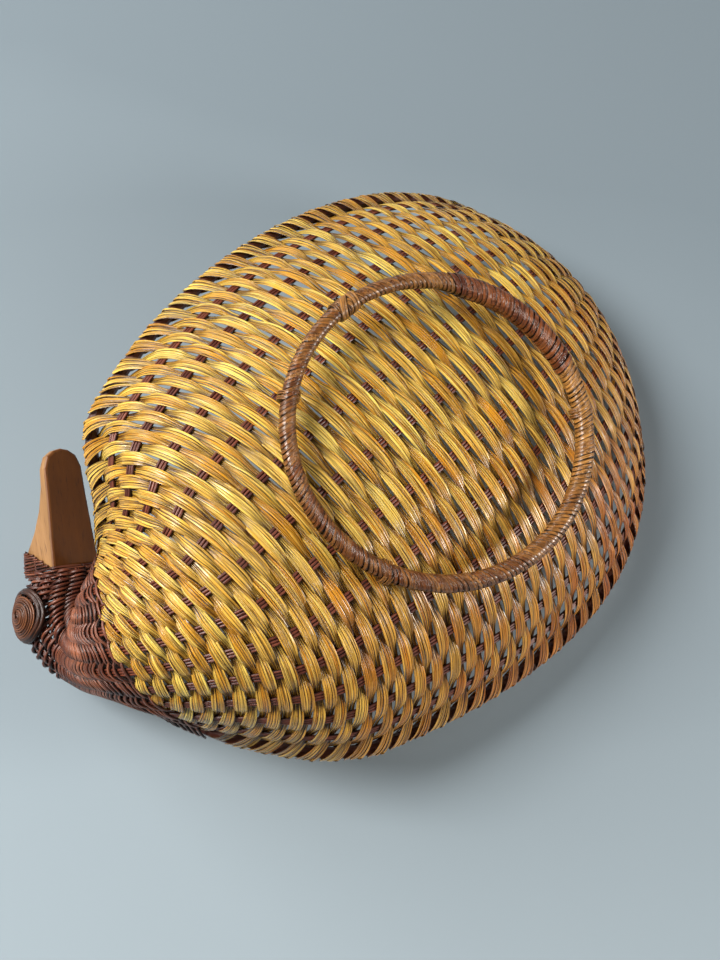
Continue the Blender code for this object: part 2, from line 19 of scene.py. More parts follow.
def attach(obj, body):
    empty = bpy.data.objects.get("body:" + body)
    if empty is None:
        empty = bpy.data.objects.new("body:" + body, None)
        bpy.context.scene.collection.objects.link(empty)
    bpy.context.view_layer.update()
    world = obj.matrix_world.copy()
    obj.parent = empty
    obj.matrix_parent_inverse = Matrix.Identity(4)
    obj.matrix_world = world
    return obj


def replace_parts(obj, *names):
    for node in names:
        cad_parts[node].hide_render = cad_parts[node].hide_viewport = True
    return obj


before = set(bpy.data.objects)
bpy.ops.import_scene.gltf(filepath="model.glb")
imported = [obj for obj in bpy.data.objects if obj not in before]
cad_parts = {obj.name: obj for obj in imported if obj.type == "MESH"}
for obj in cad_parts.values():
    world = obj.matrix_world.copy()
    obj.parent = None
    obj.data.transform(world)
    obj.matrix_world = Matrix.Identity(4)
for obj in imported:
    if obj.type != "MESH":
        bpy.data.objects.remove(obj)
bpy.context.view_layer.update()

# %% [markdown]
# ## The skin of the duck
#
# The real maker bends ribs by eye, and the strands pull them into an even, swelling form. Sculpting that
# form as a mesh would leave the strands nothing exact to follow. Here it is a surface with two
# parameters: how far along the duck, and how far round from the keel to the rim. The bowl is a sine
# swell, and from the shoulders on a table of sections turns the breast up and back into the neck.

# %% Sizes of the skin, in metres and radians
BODY_LENGTH, BODY_WIDTH, BOWL_DEPTH = 0.306, 0.228, 0.0735
BODY_MIDDLE_X, BODY_SWAY = 0.007, 0.003
WIDTH_POWER, WIDTH_LEAN = 0.9, 0.17  # how blunt the bowl's ends are, and how much wider its tail is
DEPTH_POWER, DEPTH_LEAN = 0.65, 0.08  # the same for its depth, which grows to the front
HEAD_RISE, NECK_RADIUS = 0.043, 0.018
AXIS_HEIGHT, RIM_ANGLE = 0.08065, math.radians(72.5)
BOWL_END, BOWL_STATIONS = 2.1, 22
NECK_ROW, HEAD_ROW = 5, 7  # rows of the table below, counted from 0, where the neck and the head start
NECK_SCALE = 0.7  # half body lengths that the place t moves by 1 in, from the breast on
PLACE_SHIFT = np.array([-0.002246, 0.001532, 0.0])  # centres the footprint, as in the solids
TAIL_END, CAP_SPAN = 0.16, 0.1

# one row a section: along, across, rise, heading, pitch, wide, deep, neck, rim angle
BREAST_AND_NECK = np.array([
    (0.601, 0.035, -0.01, 3, 0, 0.505, 0.434, 1.00, 76),
    (0.673, 0.060, 0.02, 9, 3, 0.330, 0.368, 1.00, 83),
    (0.732, 0.105, 0.13, 16, 16, 0.195, 0.263, 1.00, 94),
    (0.784, 0.150, 0.31, 27, 36, 0.080, 0.125, 1.00, 114),
    (0.814, 0.170, 0.57, 47, 44, 0.026, 0.035, 1.00, 148),
    (0.830, 0.211, 0.80, 71, 36, 0.000, 0.000, 0.99, 180),
    (0.824, 0.272, 0.94, 92, 25, 0.000, 0.000, 1.01, 180),
    (0.804, 0.333, 1.00, 108, 14, 0.000, 0.000, 1.05, 180),
    (0.765, 0.395, 0.98, 118, 3, 0.000, 0.000, 1.00, 180),
    (0.725, 0.456, 0.92, 121, -7, 0.000, 0.000, 0.82, 180),
])
print("sections of breast and neck:", len(BREAST_AND_NECK))


# %% Sections from the tail to the bill
def bowl_sections(phi):
    """Spine and section of the bowl at phi: X goes as minus cosine, width and depth as powers of sine."""
    x = BODY_MIDDLE_X - BODY_LENGTH / 2 * np.cos(phi)
    sway = -BODY_SWAY * np.sin(math.pi * np.cos(phi))
    width = BODY_WIDTH / 2 * np.sin(phi) ** WIDTH_POWER * (1 + WIDTH_LEAN * np.cos(phi))
    depth = BOWL_DEPTH * np.sin(phi) ** DEPTH_POWER * (1 - DEPTH_LEAN * np.cos(phi))
    flat = np.zeros_like(phi)
    spine = np.stack([x, sway, flat + AXIS_HEIGHT], 1)
    return spine, np.stack([flat, flat, width, depth, flat + RIM_ANGLE], 1)


def neck_sections(rows):
    """Spine and section of each row of the table, shares turned into metres and degrees into radians."""
    spine = np.stack([
        BODY_MIDDLE_X + rows[:, 0] * BODY_LENGTH / 2,
        rows[:, 1] * BODY_WIDTH / 2,
        AXIS_HEIGHT + rows[:, 2] * HEAD_RISE,
    ], 1)
    width, depth = (rows[:, k] * BODY_WIDTH / 2 + rows[:, 7] * NECK_RADIUS for k in (5, 6))
    heading, pitch, rim = np.radians(rows[:, [3, 4, 8]]).T
    return spine, np.stack([heading, pitch, width, depth, rim], 1)


bowl_keys = np.linspace(0, BOWL_END, BOWL_STATIONS)
SPINE, SECTIONS = (np.vstack(two) for two in zip(bowl_sections(bowl_keys), neck_sections(BREAST_AND_NECK)))
steps = np.linalg.norm(np.diff(SPINE[BOWL_STATIONS - 1:], axis=0), axis=1) / (BODY_LENGTH / 2 * NECK_SCALE)
KEYS = np.concatenate([bowl_keys, BOWL_END + np.cumsum(steps)])
SKIN_END = KEYS[-1]
NECK_START, HEAD_START = KEYS[BOWL_STATIONS + NECK_ROW], KEYS[BOWL_STATIONS + HEAD_ROW]
print("places: neck %.3f, head %.3f, bill %.3f" % (NECK_START, HEAD_START, SKIN_END))


# %% A smooth curve through the sections
def key_slopes(values, limited):
    """Slope at each key: the mean of the chords on both sides, or their harmonic mean, which never lets the
    curve overshoot."""
    chords = np.diff(values, axis=0) / np.diff(KEYS)[:, None]
    before, after = chords[:-1], chords[1:]
    mean = (before + after) / 2
    if limited:
        same = before * after > 0
        mean = np.where(same, 2 * before * after / np.where(same, before + after, 1), 0)
    return np.vstack([chords[:1], mean, chords[-1:]])


SPINE_SLOPES, SECTION_SLOPES = key_slopes(SPINE, False), key_slopes(SECTIONS, True)


def through(values, slopes, t):
    """Cubic Hermite: each stretch takes the values and the slopes at its two ends."""
    span = np.clip(np.searchsorted(KEYS, t, side="right") - 1, 0, len(KEYS) - 2)
    width = KEYS[span + 1] - KEYS[span]
    u = ((t - KEYS[span]) / width)[..., None]
    width = width[..., None]
    return (
        (2 * u**3 - 3 * u**2 + 1) * values[span] + (u**3 - 2 * u**2 + u) * width * slopes[span]
        + (3 * u**2 - 2 * u**3) * values[span + 1] + (u**3 - u**2) * width * slopes[span + 1]
    )


def rim_angle(t):
    """Angle from the keel to the rim at t."""
    return through(SECTIONS, SECTION_SLOPES, t)[..., 4]


def section_point(t, angle):
    """Spine at t, plus width times sine of the angle to the left, less depth times cosine upwards."""
    spine = through(SPINE, SPINE_SLOPES, t)
    heading, pitch, width, depth, _ = np.moveaxis(through(SECTIONS, SECTION_SLOPES, t), -1, 0)
    left = np.stack([-np.sin(heading), np.cos(heading), 0 * heading], -1)
    up = np.stack([-np.sin(pitch) * np.cos(heading), -np.sin(pitch) * np.sin(heading), np.cos(pitch)], -1)
    return spine + (width * np.sin(angle))[..., None] * left - (depth * np.cos(angle))[..., None] * up


print("rim angle at the neck, in degrees:", round(math.degrees(rim_angle(np.array(NECK_START))), 1))

# %% [markdown]
# ## Closing the tail
#
# The bowl's last section is a blunt oval. On the basket the ribs and the strands turn up there and end
# at the rim. A separate cap would show a seam, so the same surface goes on: past the last section its
# arc is drawn up, step by step, to the line between its two ends, with a small bulge backwards.

# %% One wall for bowl, tail, breast and head
TAIL_BULGE = BODY_LENGTH / 2 * (1 - math.cos(TAIL_END))
BACK = np.array([1.0, 0, 0])
INNER_SHARE = 0.985  # the normal is taken at most this far out, so that it is defined at the rim


def unit(vectors):
    """The same directions with length one."""
    return vectors / np.maximum(np.linalg.norm(vectors, axis=-1, keepdims=True), 1e-15)


def wall_middle(t, share):
    """The skin at share times the rim's angle. Past the tail its arc is blended into its ends' chord."""
    t, share = np.broadcast_arrays(np.asarray(t, float), np.asarray(share, float))
    body = np.maximum(t, TAIL_END)
    points = section_point(body, rim_angle(body) * share)
    painted_light_gradient = np.clip((TAIL_END - t) / CAP_SPAN, 0, 1)[..., None]
    end = np.full(1, TAIL_END)
    left, right = (section_point(end, side * rim_angle(end))[0] for side in (1, -1))
    share = share[..., None]
    bulge = TAIL_BULGE * (1 - share**2)
    chord = left * (1 + share) / 2 + right * (1 - share) / 2 - bulge * BACK
    return points * (1 - painted_light_gradient) + chord * painted_light_gradient - bulge * painted_light_gradient * (1 - painted_light_gradient) * BACK + PLACE_SHIFT


def wall_normal(t, share, step=1e-4):
    """Outward normal: the cross product of the steps across and along the wall."""
    share = np.clip(share, -INNER_SHARE, INNER_SHARE)
    along = wall_middle(t + step, share) - wall_middle(t - step, share)
    across = wall_middle(t, share + step) - wall_middle(t, share - step)
    return unit(np.cross(across, along))


def wall(t, share, out):
    """A point of the wall, out metres outside the skin."""
    return wall_middle(t, share) + np.asarray(out)[..., None] * wall_normal(t, share)


print("keel at the middle:", wall(np.array(1.5), 0.0, 0.0).round(4))

# %% [markdown]
# ## From paths to strands
#
# A strand of straw is a flat ribbon with rounded edges. A curve object with a bevel can't turn its flat
# side to the wall, so each strand is swept here: a flat hexagon is carried along the path, its long side
# across the path and its short side along the wall's normal. The arrays hold many strands at once.
# Every point also keeps numbers for the finish: how far along the strand it is, how far across, the
# strand's own tone, and how much painted shade it gets, more where it lies deep in the weave.

# %% Sweep strands
RING = np.radians([0, 42, 138, 180, 222, 318])  # flat, with rounded edges
ROUND = np.radians([0, 60, 120, 180, 240, 300])
OCTAGON = np.radians(np.arange(0, 360, 45))


def along_and_side(path, normal):
    """The directions along a path and across it, which is along crossed with the normal."""
    run = unit(np.gradient(path, axis=-2))
    return run, unit(np.cross(run, normal))


def length_along(points, axis):
    """Length from the first point to each one, the sum of the steps between them."""
    steps = np.linalg.norm(np.diff(points, axis=axis), axis=-1)
    return np.insert(np.cumsum(steps, axis=axis), 0, 0, axis=axis)


def strand_grid(path, normal, half_width, half_thick, ring):
    """Points (strands, steps, ring): path + width*cos(angle)*side + thick*sin(angle)*normal.
    The shading normals, cos(angle)^3/width*side + sin(angle)/thick*normal, keep a flat strand's broad side
    flat and only its edges round."""
    run, side = along_and_side(path, normal)
    up = np.cross(side, run)
    wide, thick = (np.broadcast_to(v, path.shape[:2])[..., None, None] for v in (half_width, half_thick))
    cos, sin = np.cos(ring)[:, None], np.sin(ring)[:, None]
    side, up = side[..., None, :], up[..., None, :]
    points = path[..., None, :] + wide * cos * side + thick * sin * up
    return points, unit(cos**3 / wide * side + sin / thick * up)


def strand_faces(strands, steps, sides, closed):
    """Quads between neighbouring rings, and a cap at each end of an open strand."""
    base = np.arange(strands)[:, None, None] * steps * sides
    k = np.arange(sides)
    rings = np.arange(steps if closed else steps - 1)[None, :, None]
    here, after = base + rings * sides, base + (rings + 1) % steps * sides
    quad = np.stack([here + k, after + k, after + (k + 1) % sides, here + (k + 1) % sides], -1).reshape(-1, 4)
    if closed:
        return quad, np.zeros((0, sides), int)
    first = np.arange(strands)[:, None] * steps * sides + k
    last = (first + (steps - 1) * sides)[:, ::-1]
    return quad, np.vstack([first, last])


def strand_values(path, tone, shade, ring):
    """Along in metres, across from -1 to 1, tone and shade for every point of the grid."""

    def on_grid(value):
        """One value, or one for each strand or step, repeated for every point."""
        value = np.broadcast_to(value, path.shape[:2])[..., None]
        return np.broadcast_to(value, (*path.shape[:2], len(ring))).ravel()

    across = np.tile(np.cos(ring), path.shape[0] * path.shape[1])
    along = on_grid(length_along(path, 1))
    return {"along": along, "across": across, "tone": on_grid(tone), "shade": on_grid(shade)}


print("corners round a flat, a round and a fine round strand:", len(RING), len(ROUND), len(OCTAGON))


# %% One mesh from many strands
def put_in_scene(name, data):
    """An object for the data, linked into the scene."""
    obj = bpy.data.objects.new(name, data)
    bpy.context.scene.collection.objects.link(obj)
    return obj


def strand_piece(name, groups, material, ring=RING, closed=False):
    """A smooth mesh from groups of strands, with one float attribute for each of their values. A group is
    (path, normal, half width, half thickness, tone, shade), for many strands or for a single one."""
    parts, base = [], 0
    for path, normal, half_width, half_thick, tone, shade in groups:
        if path.ndim == 2:
            path, normal = path[None], normal[None]
        points, facing = strand_grid(path, normal, half_width, half_thick, ring)
        quads, caps = strand_faces(*points.shape[:3], closed)
        values = strand_values(path, tone, shade, ring)
        parts.append((points.reshape(-1, 3), facing.reshape(-1, 3), quads + base, caps + base, values))
        base += points.size // 3
    points, facing, quads, caps = (np.concatenate(same) for same in list(zip(*parts))[:4])
    corners = np.concatenate([quads.ravel(), caps.ravel()]).astype(np.int32)
    sizes = np.concatenate([np.full(len(quads), 4), np.full(len(caps), len(ring))])
    mesh = bpy.data.meshes.new(name)
    mesh.vertices.add(len(points))
    mesh.vertices.foreach_set("co", points.astype(np.float32).ravel())
    mesh.loops.add(len(corners))
    mesh.loops.foreach_set("vertex_index", corners)
    mesh.polygons.add(len(sizes))
    mesh.polygons.foreach_set("loop_start", (np.cumsum(sizes) - sizes).astype(np.int32))
    mesh.polygons.foreach_set("use_smooth", np.ones(len(sizes), bool))
    for key in parts[0][4]:
        numbers = np.concatenate([part[4][key] for part in parts])
        mesh.attributes.new(key, "FLOAT", "POINT").data.foreach_set("value", numbers.astype(np.float32))
    mesh.update(calc_edges=True)
    mesh.validate()
    if ring is RING:
        mesh.normals_split_custom_set_from_vertices(facing)
    obj = put_in_scene(name, mesh)
    mesh.materials.append(material)
    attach(obj, "root")
    print(f"{name}: {len(points)} points, {2 * len(quads) + (len(ring) - 2) * len(caps)} triangles")
    return obj


# %% [markdown]
# ## Finishes shared by all strands
#
# Straw, cane and thin rods all split along their length, so what the eye reads is fine lines that run
# with the strand. A picture of straw would slide on such narrow pieces. A node group makes the lines
# from the strand's own numbers instead: noise that is stretched far along and squeezed across. It also
# paints shade: darker at each strand's edges and where the strand lies deep in the weave. It is built
# once, and each material gives it its own scale and colours.

# %% Short names for shader nodes
def rgb(code):
    """A colour code such as C9A13E as linear red, green, blue and one for alpha."""
    parts = [int(code[k:k + 2], 16) / 255 for k in (0, 2, 4)]
    return (*[p / 12.92 if p <= 0.04045 else ((p + 0.055) / 1.055) ** 2.4 for p in parts], 1.0)


def feed(tree, made, inputs):
    """Fill a node's inputs, by name or number, with values or with what other nodes put out."""
    for key, value in inputs.items():
        if isinstance(value, bpy.types.NodeSocket):
            tree.links.new(value, made.inputs[key])
        else:
            made.inputs[key].default_value = value


def node(tree, kind, inputs=None, **settings):
    """Add a node, set its settings and fill its inputs. What comes back are its outputs."""
    made = tree.nodes.new("ShaderNode" + kind)
    for key, value in settings.items():
        setattr(made, key, value)
    feed(tree, made, inputs or {})
    return made.outputs


def maths(tree, operation, a, b=0.0, c=0.0, clamp=False):
    """One step of arithmetic, such as a * b + c for MULTIPLY_ADD."""
    return node(tree, "Math", {0: a, 1: b, 2: c}, operation=operation, use_clamp=clamp)[0]


def blend(tree, factor, a, b, kind="MIX"):
    """Colour a, mixed with b or multiplied by it as far as the factor says."""
    return node(tree, "Mix", {0: factor, 6: a, 7: b}, data_type="RGBA", blend_type=kind)[2]


def noise(tree, place, scale, detail, **more):
    """Soft random values around 0.5."""
    return node(tree, "TexNoise", {"Vector": place, "Scale": scale, "Detail": detail, **more})["Fac"]


def fade(tree, value, low, high):
    """0 at low, 1 at high, and even between them. Low may be the larger one."""
    return node(tree, "MapRange", {"Value": value, "From Min": low, "From Max": high})[0]


print("linear value of half grey:", round(rgb("808080")[0], 3))


# %% Node group: lines of fibre along a strand
def make_fibre_group():
    """Grooves, streaks and stains from noise on (along*stretch, across*lines, tone); the dark grooves are
    partly the straw's own lines and partly painted shade. Strands get painted shade at their edges, across^4,
    where they meet their neighbours, and as far as the shade value says that they lie deep in the weave."""
    group = bpy.data.node_groups.new("strand_fibre_and_shade", "ShaderNodeTree")
    for key in ("Lines", "Stretch", "Groove"):
        group.interface.new_socket(key, in_out="INPUT", socket_type="NodeSocketFloat")
    for key in ("Dark", "Middle", "Light"):
        group.interface.new_socket(key, in_out="INPUT", socket_type="NodeSocketColor")
    for key, kind in (("Color", "Color"), ("Height", "Float"), ("Worn", "Float")):
        group.interface.new_socket(key, in_out="OUTPUT", socket_type="NodeSocket" + kind)
    given = group.nodes.new("NodeGroupInput").outputs
    along, across, tone, shade = (
        node(group, "Attribute", attribute_name=key)["Fac"] for key in ("along", "across", "tone", "shade")
    )
    place = node(group, "CombineXYZ", {
        "X": maths(group, "MULTIPLY", along, given["Stretch"]),
        "Y": maths(group, "MULTIPLY", across, given["Lines"]),
        "Z": maths(group, "MULTIPLY", tone, 40.0),
    })[0]
    ridge = fade(group, noise(group, place, 1.0, 3.0, Roughness=0.55), 0.42, 0.55)
    slow_place = node(group, "CombineXYZ", {
        "X": maths(group, "MULTIPLY", along, 45.0), "Y": maths(group, "MULTIPLY", tone, 60.0), "Z": 0.3,
    })[0]
    slow = noise(group, slow_place, 1.0, 2.0)
    level = maths(group, "MULTIPLY_ADD", tone, 0.9, maths(group, "MULTIPLY_ADD", slow, 1.1, -0.5), clamp=True)
    # painted shade: darker at a strand's edges, between neighbours, and where it lies deep in the weave
    edge = maths(group, "POWER", maths(group, "ABSOLUTE", across), 4.0)
    dark = maths(group, "MULTIPLY", maths(group, "SUBTRACT", 1.0, ridge), given["Groove"])
    dark = maths(group, "MULTIPLY_ADD", edge, 0.85, dark)
    dark = maths(group, "MULTIPLY_ADD", shade, 0.5, dark, clamp=True)
    colour = blend(group, dark, blend(group, level, given["Middle"], given["Light"]), given["Dark"])
    feed(group, group.nodes.new("NodeGroupOutput"), {"Color": colour, "Height": ridge, "Worn": slow})
    return group


FIBRE = make_fibre_group()
print("node group made:", FIBRE.name)


# %% A strand finish from the group
def new_finish(name):
    """An empty material, its node tree and its Principled shader."""
    made = bpy.data.materials.new(name)
    made.use_nodes = True
    return made, made.node_tree, made.node_tree.nodes["Principled BSDF"]


def own_place(tree):
    """The object's own coordinates."""
    return node(tree, "TexCoord")["Object"]


def dress(tree, shader, colour, rough, height, strength, distance):
    """Give the shader its colour and roughness, and a bump from the height."""
    bump = node(tree, "Bump", {"Height": height, "Strength": strength, "Distance": distance})[0]
    feed(tree, shader, {"Base Color": colour, "Roughness": rough, "Normal": bump})


def tone_patches_and_side_shade(tree, colour, patch_and_shade_tint):
    """The colour multiplied by the tint in patches, which are noise round its middle and the straw's own
    tone, and more towards the duck's right side and its tail, which is painted shade on the side away from
    the lamps."""
    place = own_place(tree)
    x, y, _ = node(tree, "SeparateXYZ", {0: place})
    # painted shade: the tint grows towards the duck's right side and its tail, the side away from the lamps
    painted_light_gradient = maths(tree, "MULTIPLY_ADD", y, -7.0, maths(tree, "MULTIPLY_ADD", x, -1.5, 0.06))
    factor = maths(tree, "MULTIPLY_ADD", noise(tree, place, 22.0, 2.0), 0.7, painted_light_gradient)
    factor = maths(tree, "SUBTRACT", factor, 0.35, clamp=True)
    return blend(tree, factor, colour, blend(tree, 1.0, colour, rgb(patch_and_shade_tint), "MULTIPLY"))


def strand_finish(name, colours, lines, stretch, groove, rough, bump, coat, patch_and_shade_tint=None):
    """Principled shader with colour, bump and roughness from the fibre group, and, if a tint is given,
    patches of tone and painted side shade from it.
    """
    made, tree, shader = new_finish(name)
    dark, middle, light = (rgb(code) for code in colours.split())
    fibre = node(tree, "Group", {
        "Lines": lines, "Stretch": stretch, "Groove": groove, "Dark": dark, "Middle": middle, "Light": light,
    }, node_tree=FIBRE)
    colour = tone_patches_and_side_shade(tree, fibre["Color"], patch_and_shade_tint) if patch_and_shade_tint else fibre["Color"]
    gloss = maths(tree, "MULTIPLY_ADD", fibre["Worn"], 0.22, rough - 0.11)
    dress(tree, shader, colour, gloss, fibre["Height"], bump, 0.0003)
    feed(tree, shader, {"Coat Weight": coat, "Coat Roughness": 0.25, "Specular IOR Level": 0.45})
    return made


# dark, middle and light colour; lines across, stretch along, groove, roughness, bump, coat, tint for tone
# patches and painted side shade
GOLD = strand_finish("gold_straw_finish", "43260A D49220 FCDA66", 1.6, 60.0, 0.7, 0.27, 0.5, 0.18, "DCA05C")
BROWN = strand_finish("brown_strand_finish", "180806 5A291A A46242", 1.2, 90.0, 0.6, 0.4, 0.5, 0.08)
ROD = strand_finish("rib_rod_finish", "160705 542416 84442C", 1.5, 60.0, 0.4, 0.4, 0.4, 0.08)
BINDING = strand_finish("foot_binding_finish", "180903 6E3C18 B47E3E", 1.8, 110.0, 0.6, 0.3, 0.6, 0.2)
SPLICE = strand_finish("foot_splice_finish", "140604 5E2C14 A05E30", 1.8, 110.0, 0.5, 0.26, 0.6, 0.3)
EYE = strand_finish("eye_coil_finish", "140805 44200F 86502C", 1.5, 90.0, 0.5, 0.38, 0.5, 0.15)
print("strand finishes:", [m.name for m in (GOLD, BROWN, ROD, BINDING, SPLICE, EYE)])

# %% [markdown]
# ## Where each row of straw runs
#
# The weaver packs the rows by hand, so they lie about 4 mm apart however the wall swells. Rows spaced
# evenly in the surface's own parameter would crowd at the keel. So the wall's length is measured along
# every line from tail to neck, and row number j is put where that length is j pitches from the middle.
# Where the gold gives way to the brown of the breast, rows simply stop.

# %% Measure the wall
RIBS, STEPS = 12, 8  # the ribs, and the points from one rib to the next
MIDDLE_OF_WALL = -0.0020
ROD_CENTRE, ROD_RADIUS = -0.0013, 0.0025
LINE_START, LINE_END, LINE_POINTS = TAIL_END - CAP_SPAN + 0.002, 2.75, 900
rng = np.random.default_rng(7)


def random_tones(mean, spread, size=None):
    """Tones drawn round a mean, and kept from 0 to 1."""
    return np.clip(rng.normal(mean, spread, size), 0, 1)


def share_at(x):
    """Share of the rim's angle at the rib count x, which is 0 on the left rim and 13 on the right one."""
    edge = (RIBS - 1) / (RIBS + 1.6)
    return np.interp(x, [0, 1, RIBS, RIBS + 1], [1, edge, -edge, -1])


row_x = np.linspace(0, RIBS + 1, (RIBS + 1) * STEPS + 1)
row_share = share_at(row_x)
t_fine = np.linspace(LINE_START, LINE_END, LINE_POINTS)
lines = wall(t_fine[:, None], row_share, MIDDLE_OF_WALL)
line_length = length_along(lines, 0)
print("keel from tail to neck: %.3f m" % line_length[-1, len(row_x) // 2])

# %% Place the rows
FIRST_ROW, LAST_ROW = -44, 44
PITCH, PITCH_GROWTH = 0.0040, 0.0007
EASED_FROM = 15  # from this row on the pitch is eased, so that the last row meets the tail's rim
MIDDLE_ROW, MIDDLE_ROW_BEND = 1.511, 0.118  # place of row 0 at the keel, and how much more at the rim
BORDER, BORDER_RIGHT, BORDER_LEFT = 2.494, 0.09, 0.01  # place of the gold's end at the keel, less at the rims
middle_t = MIDDLE_ROW + MIDDLE_ROW_BEND * row_share**2
middle_length = np.array([np.interp(t, t_fine, line_length[:, c]) for c, t in enumerate(middle_t)])


def row_place(j, column):
    """t of rows j on one line: 4 mm a row at the keel, 4.7 at the rim, eased towards the tail by a square."""
    pitch = PITCH + PITCH_GROWTH * row_share[column] ** 2
    easing = (middle_length[column] - pitch * LAST_ROW) / (LAST_ROW - EASED_FROM) ** 2
    reach = pitch * j + easing * np.clip(j - EASED_FROM, 0, None) ** 2
    return np.interp(middle_length[column] - reach, line_length[:, column], t_fine)


def brown_border(share):
    """Where the gold stops: further back towards the right rim, as measured on the basket."""
    return BORDER - BORDER_RIGHT * np.minimum(share, 0) ** 2 - BORDER_LEFT * np.maximum(share, 0)


rows = np.arange(FIRST_ROW, LAST_ROW)
row_t = np.stack([row_place(rows, c) for c in range(len(row_x))], 1)
keel_t = row_t[:, len(row_x) // 2]
print("rows:", len(rows), "from t %.2f to %.2f at the keel" % (keel_t[0], keel_t[-1]))

# %% [markdown]
# ## Over and under
#
# Each row passes outside one rib and inside the next, and its neighbours do the opposite. That is a
# cosine of the rib count plus the row number, its crests flattened, because a bundle lies on its rib. A
# row is a bundle of split straws, not one band: over a rib they lie side by side, and where the bundle
# dives they are squeezed together, which leaves the small lens-shaped gaps. At the rim the bundle turns
# round the rod and comes back as the next row.

# %% The path of a row
WEAVE_DEPTH = 0.00105
CREST = 1.4  # the larger, the flatter the crests
LOOP_POINTS, LOOP_RADIUS = 5, ROD_RADIUS + 0.0003


def row_offset(x, j):
    """Height over the wall's middle, tanh(1.4 cos) / tanh(1.4), eased to the rim rod's outside or inside.
    The wave and how near the rim is, 0 to 1, come back too."""
    wave = np.tanh(CREST * np.cos(math.pi * (np.clip(x, 1, RIBS) + j))) / math.tanh(CREST)
    edge = np.clip(np.maximum(1 - x, x - RIBS), 0, 1)
    ease = (1 - np.cos(math.pi * edge)) / 2
    rim_side = np.where(x < RIBS / 2, np.cos(math.pi * j), np.cos(math.pi * (RIBS + 1 + j)))
    at_rim = ROD_CENTRE + rim_side * LOOP_RADIUS
    return (1 - ease) * (MIDDLE_OF_WALL + WEAVE_DEPTH * wave) + ease * at_rim, wave, edge


def row_wander(j, x, amount):
    """A slow sideways wander along each row, the mean of three waves with the row's own phases."""
    phases = rng.uniform(0, 2 * math.pi, (len(j), 3, 1))
    waves = np.sin(np.array([0.35, 0.8, 1.7])[None, :, None] * x[:, None, :] + phases)
    return amount * waves.mean(axis=1)


def rim_turn(j, side, step=1e-3):
    """Quarter turn round the rim rod, left for side 1 and right for -1, from where row j reaches it to its
    top, half a row further on."""
    column = 0 if side > 0 else len(row_x) - 1
    sign = np.cos(math.pi * (j + (0 if side > 0 else RIBS + 1)))[:, None]
    turn = np.linspace(0, math.pi / 2, LOOP_POINTS + 1)[1:]
    t = row_place(j[:, None] + 0.5 * sign * (turn / (math.pi / 2)) ** 2, column)
    out = wall_normal(t, side)
    run = wall_middle(t + step, side) - wall_middle(t - step, side)
    rise = unit(side * np.cross(run, out))
    cos, sin = np.cos(turn)[:, None], np.sin(turn)[:, None]
    sign = sign[..., None]
    path = wall(t, side, ROD_CENTRE) + LOOP_RADIUS * (sign * cos * out + sin * rise)
    return path, cos * out + sign * sin * rise


print("rise and fall of a row: %.2f mm" % (2000 * WEAVE_DEPTH))

# %% Bundles of straw
STRAWS, STRAW_WIDTH, STRAW_THICK = 5, 0.00105, 0.00042
SQUEEZE, FRONT_EASE = 0.64, 0.08  # spread where a bundle dives, and how much more it is at the breast
FRONT_START, FRONT_SPAN = 1.75, 0.45
FLAT_WIDTH = 0.95  # of a bundle on top of the rim's rod


def row_spread(wave, t):
    """From SQUEEZE where a bundle dives to 1 on its crest, and squeezed a little less towards the breast."""
    front = np.clip((t - FRONT_START) / FRONT_SPAN, 0, 1)
    narrow = SQUEEZE + FRONT_EASE * front
    return (narrow + (1 - narrow) * (0.5 + 0.5 * wave) ** 1.2) * (1 - 0.02 * front)


def row_shade(wave):
    """Painted shade: 0 on a crest and 0.9 where the bundle lies inside a rib."""
    return 0.9 * ((1 - wave) / 2) ** 1.5


def bundle(path, normal, spread, shade):
    """Split each row's path into straws side by side. Width and offset shrink with the spread, and where
    they are squeezed every other straw is lifted over its neighbours."""
    _, side = along_and_side(path, normal)
    path, normal, side, spread, shade = (a[:, None] for a in (path, normal, side, spread, shade))
    count, steps = (len(path), STRAWS), path.shape[2]
    row_tone = random_tones(0.45, 0.2, len(path))
    widths = rng.uniform(0.7, 1.3, count)
    widths *= STRAW_WIDTH * STRAWS / widths.sum(axis=1, keepdims=True)
    centres = (np.cumsum(widths, axis=1) - widths / 2 - STRAW_WIDTH * STRAWS / 2)[..., None]
    lift = rng.uniform(-0.3, 0.3, count)[..., None] * STRAW_THICK
    phase = rng.uniform(0, 2 * math.pi, (*count, 1))
    drift = 0.06 * STRAW_WIDTH * np.sin(np.linspace(0, 9, steps) * rng.uniform(1, 3, phase.shape) + phase)
    stagger = 1.2 * STRAW_THICK * (np.arange(STRAWS) % 2 - 0.5)[:, None] * (1 - spread)
    paths = path + (centres * spread + drift)[..., None] * side + (lift + stagger)[..., None] * normal
    tone = np.clip(row_tone[:, None] + rng.normal(0, 0.24, count), 0, 1)[..., None]
    tilt = rng.normal(0, 0.09, (*count, 1, 1))
    half_width = widths[..., None] / 2 * 1.07 * spread**0.8
    half_thick = STRAW_THICK / 2 * (1.25 - 0.25 * spread)
    return tuple(
        np.broadcast_to(a, (*count, steps, *a.shape[3:])).reshape(-1, steps, *a.shape[3:])
        for a in (paths, normal + tilt * side, half_width, half_thick, tone, shade)
    )


print("a bundle has %d straws and is %.2f mm wide" % (STRAWS, 1000 * STRAWS * STRAW_WIDTH))


# %% Weave the gold rows of one stretch
ROW_WANDER, END_TUCK = 0.0035, 0.0012


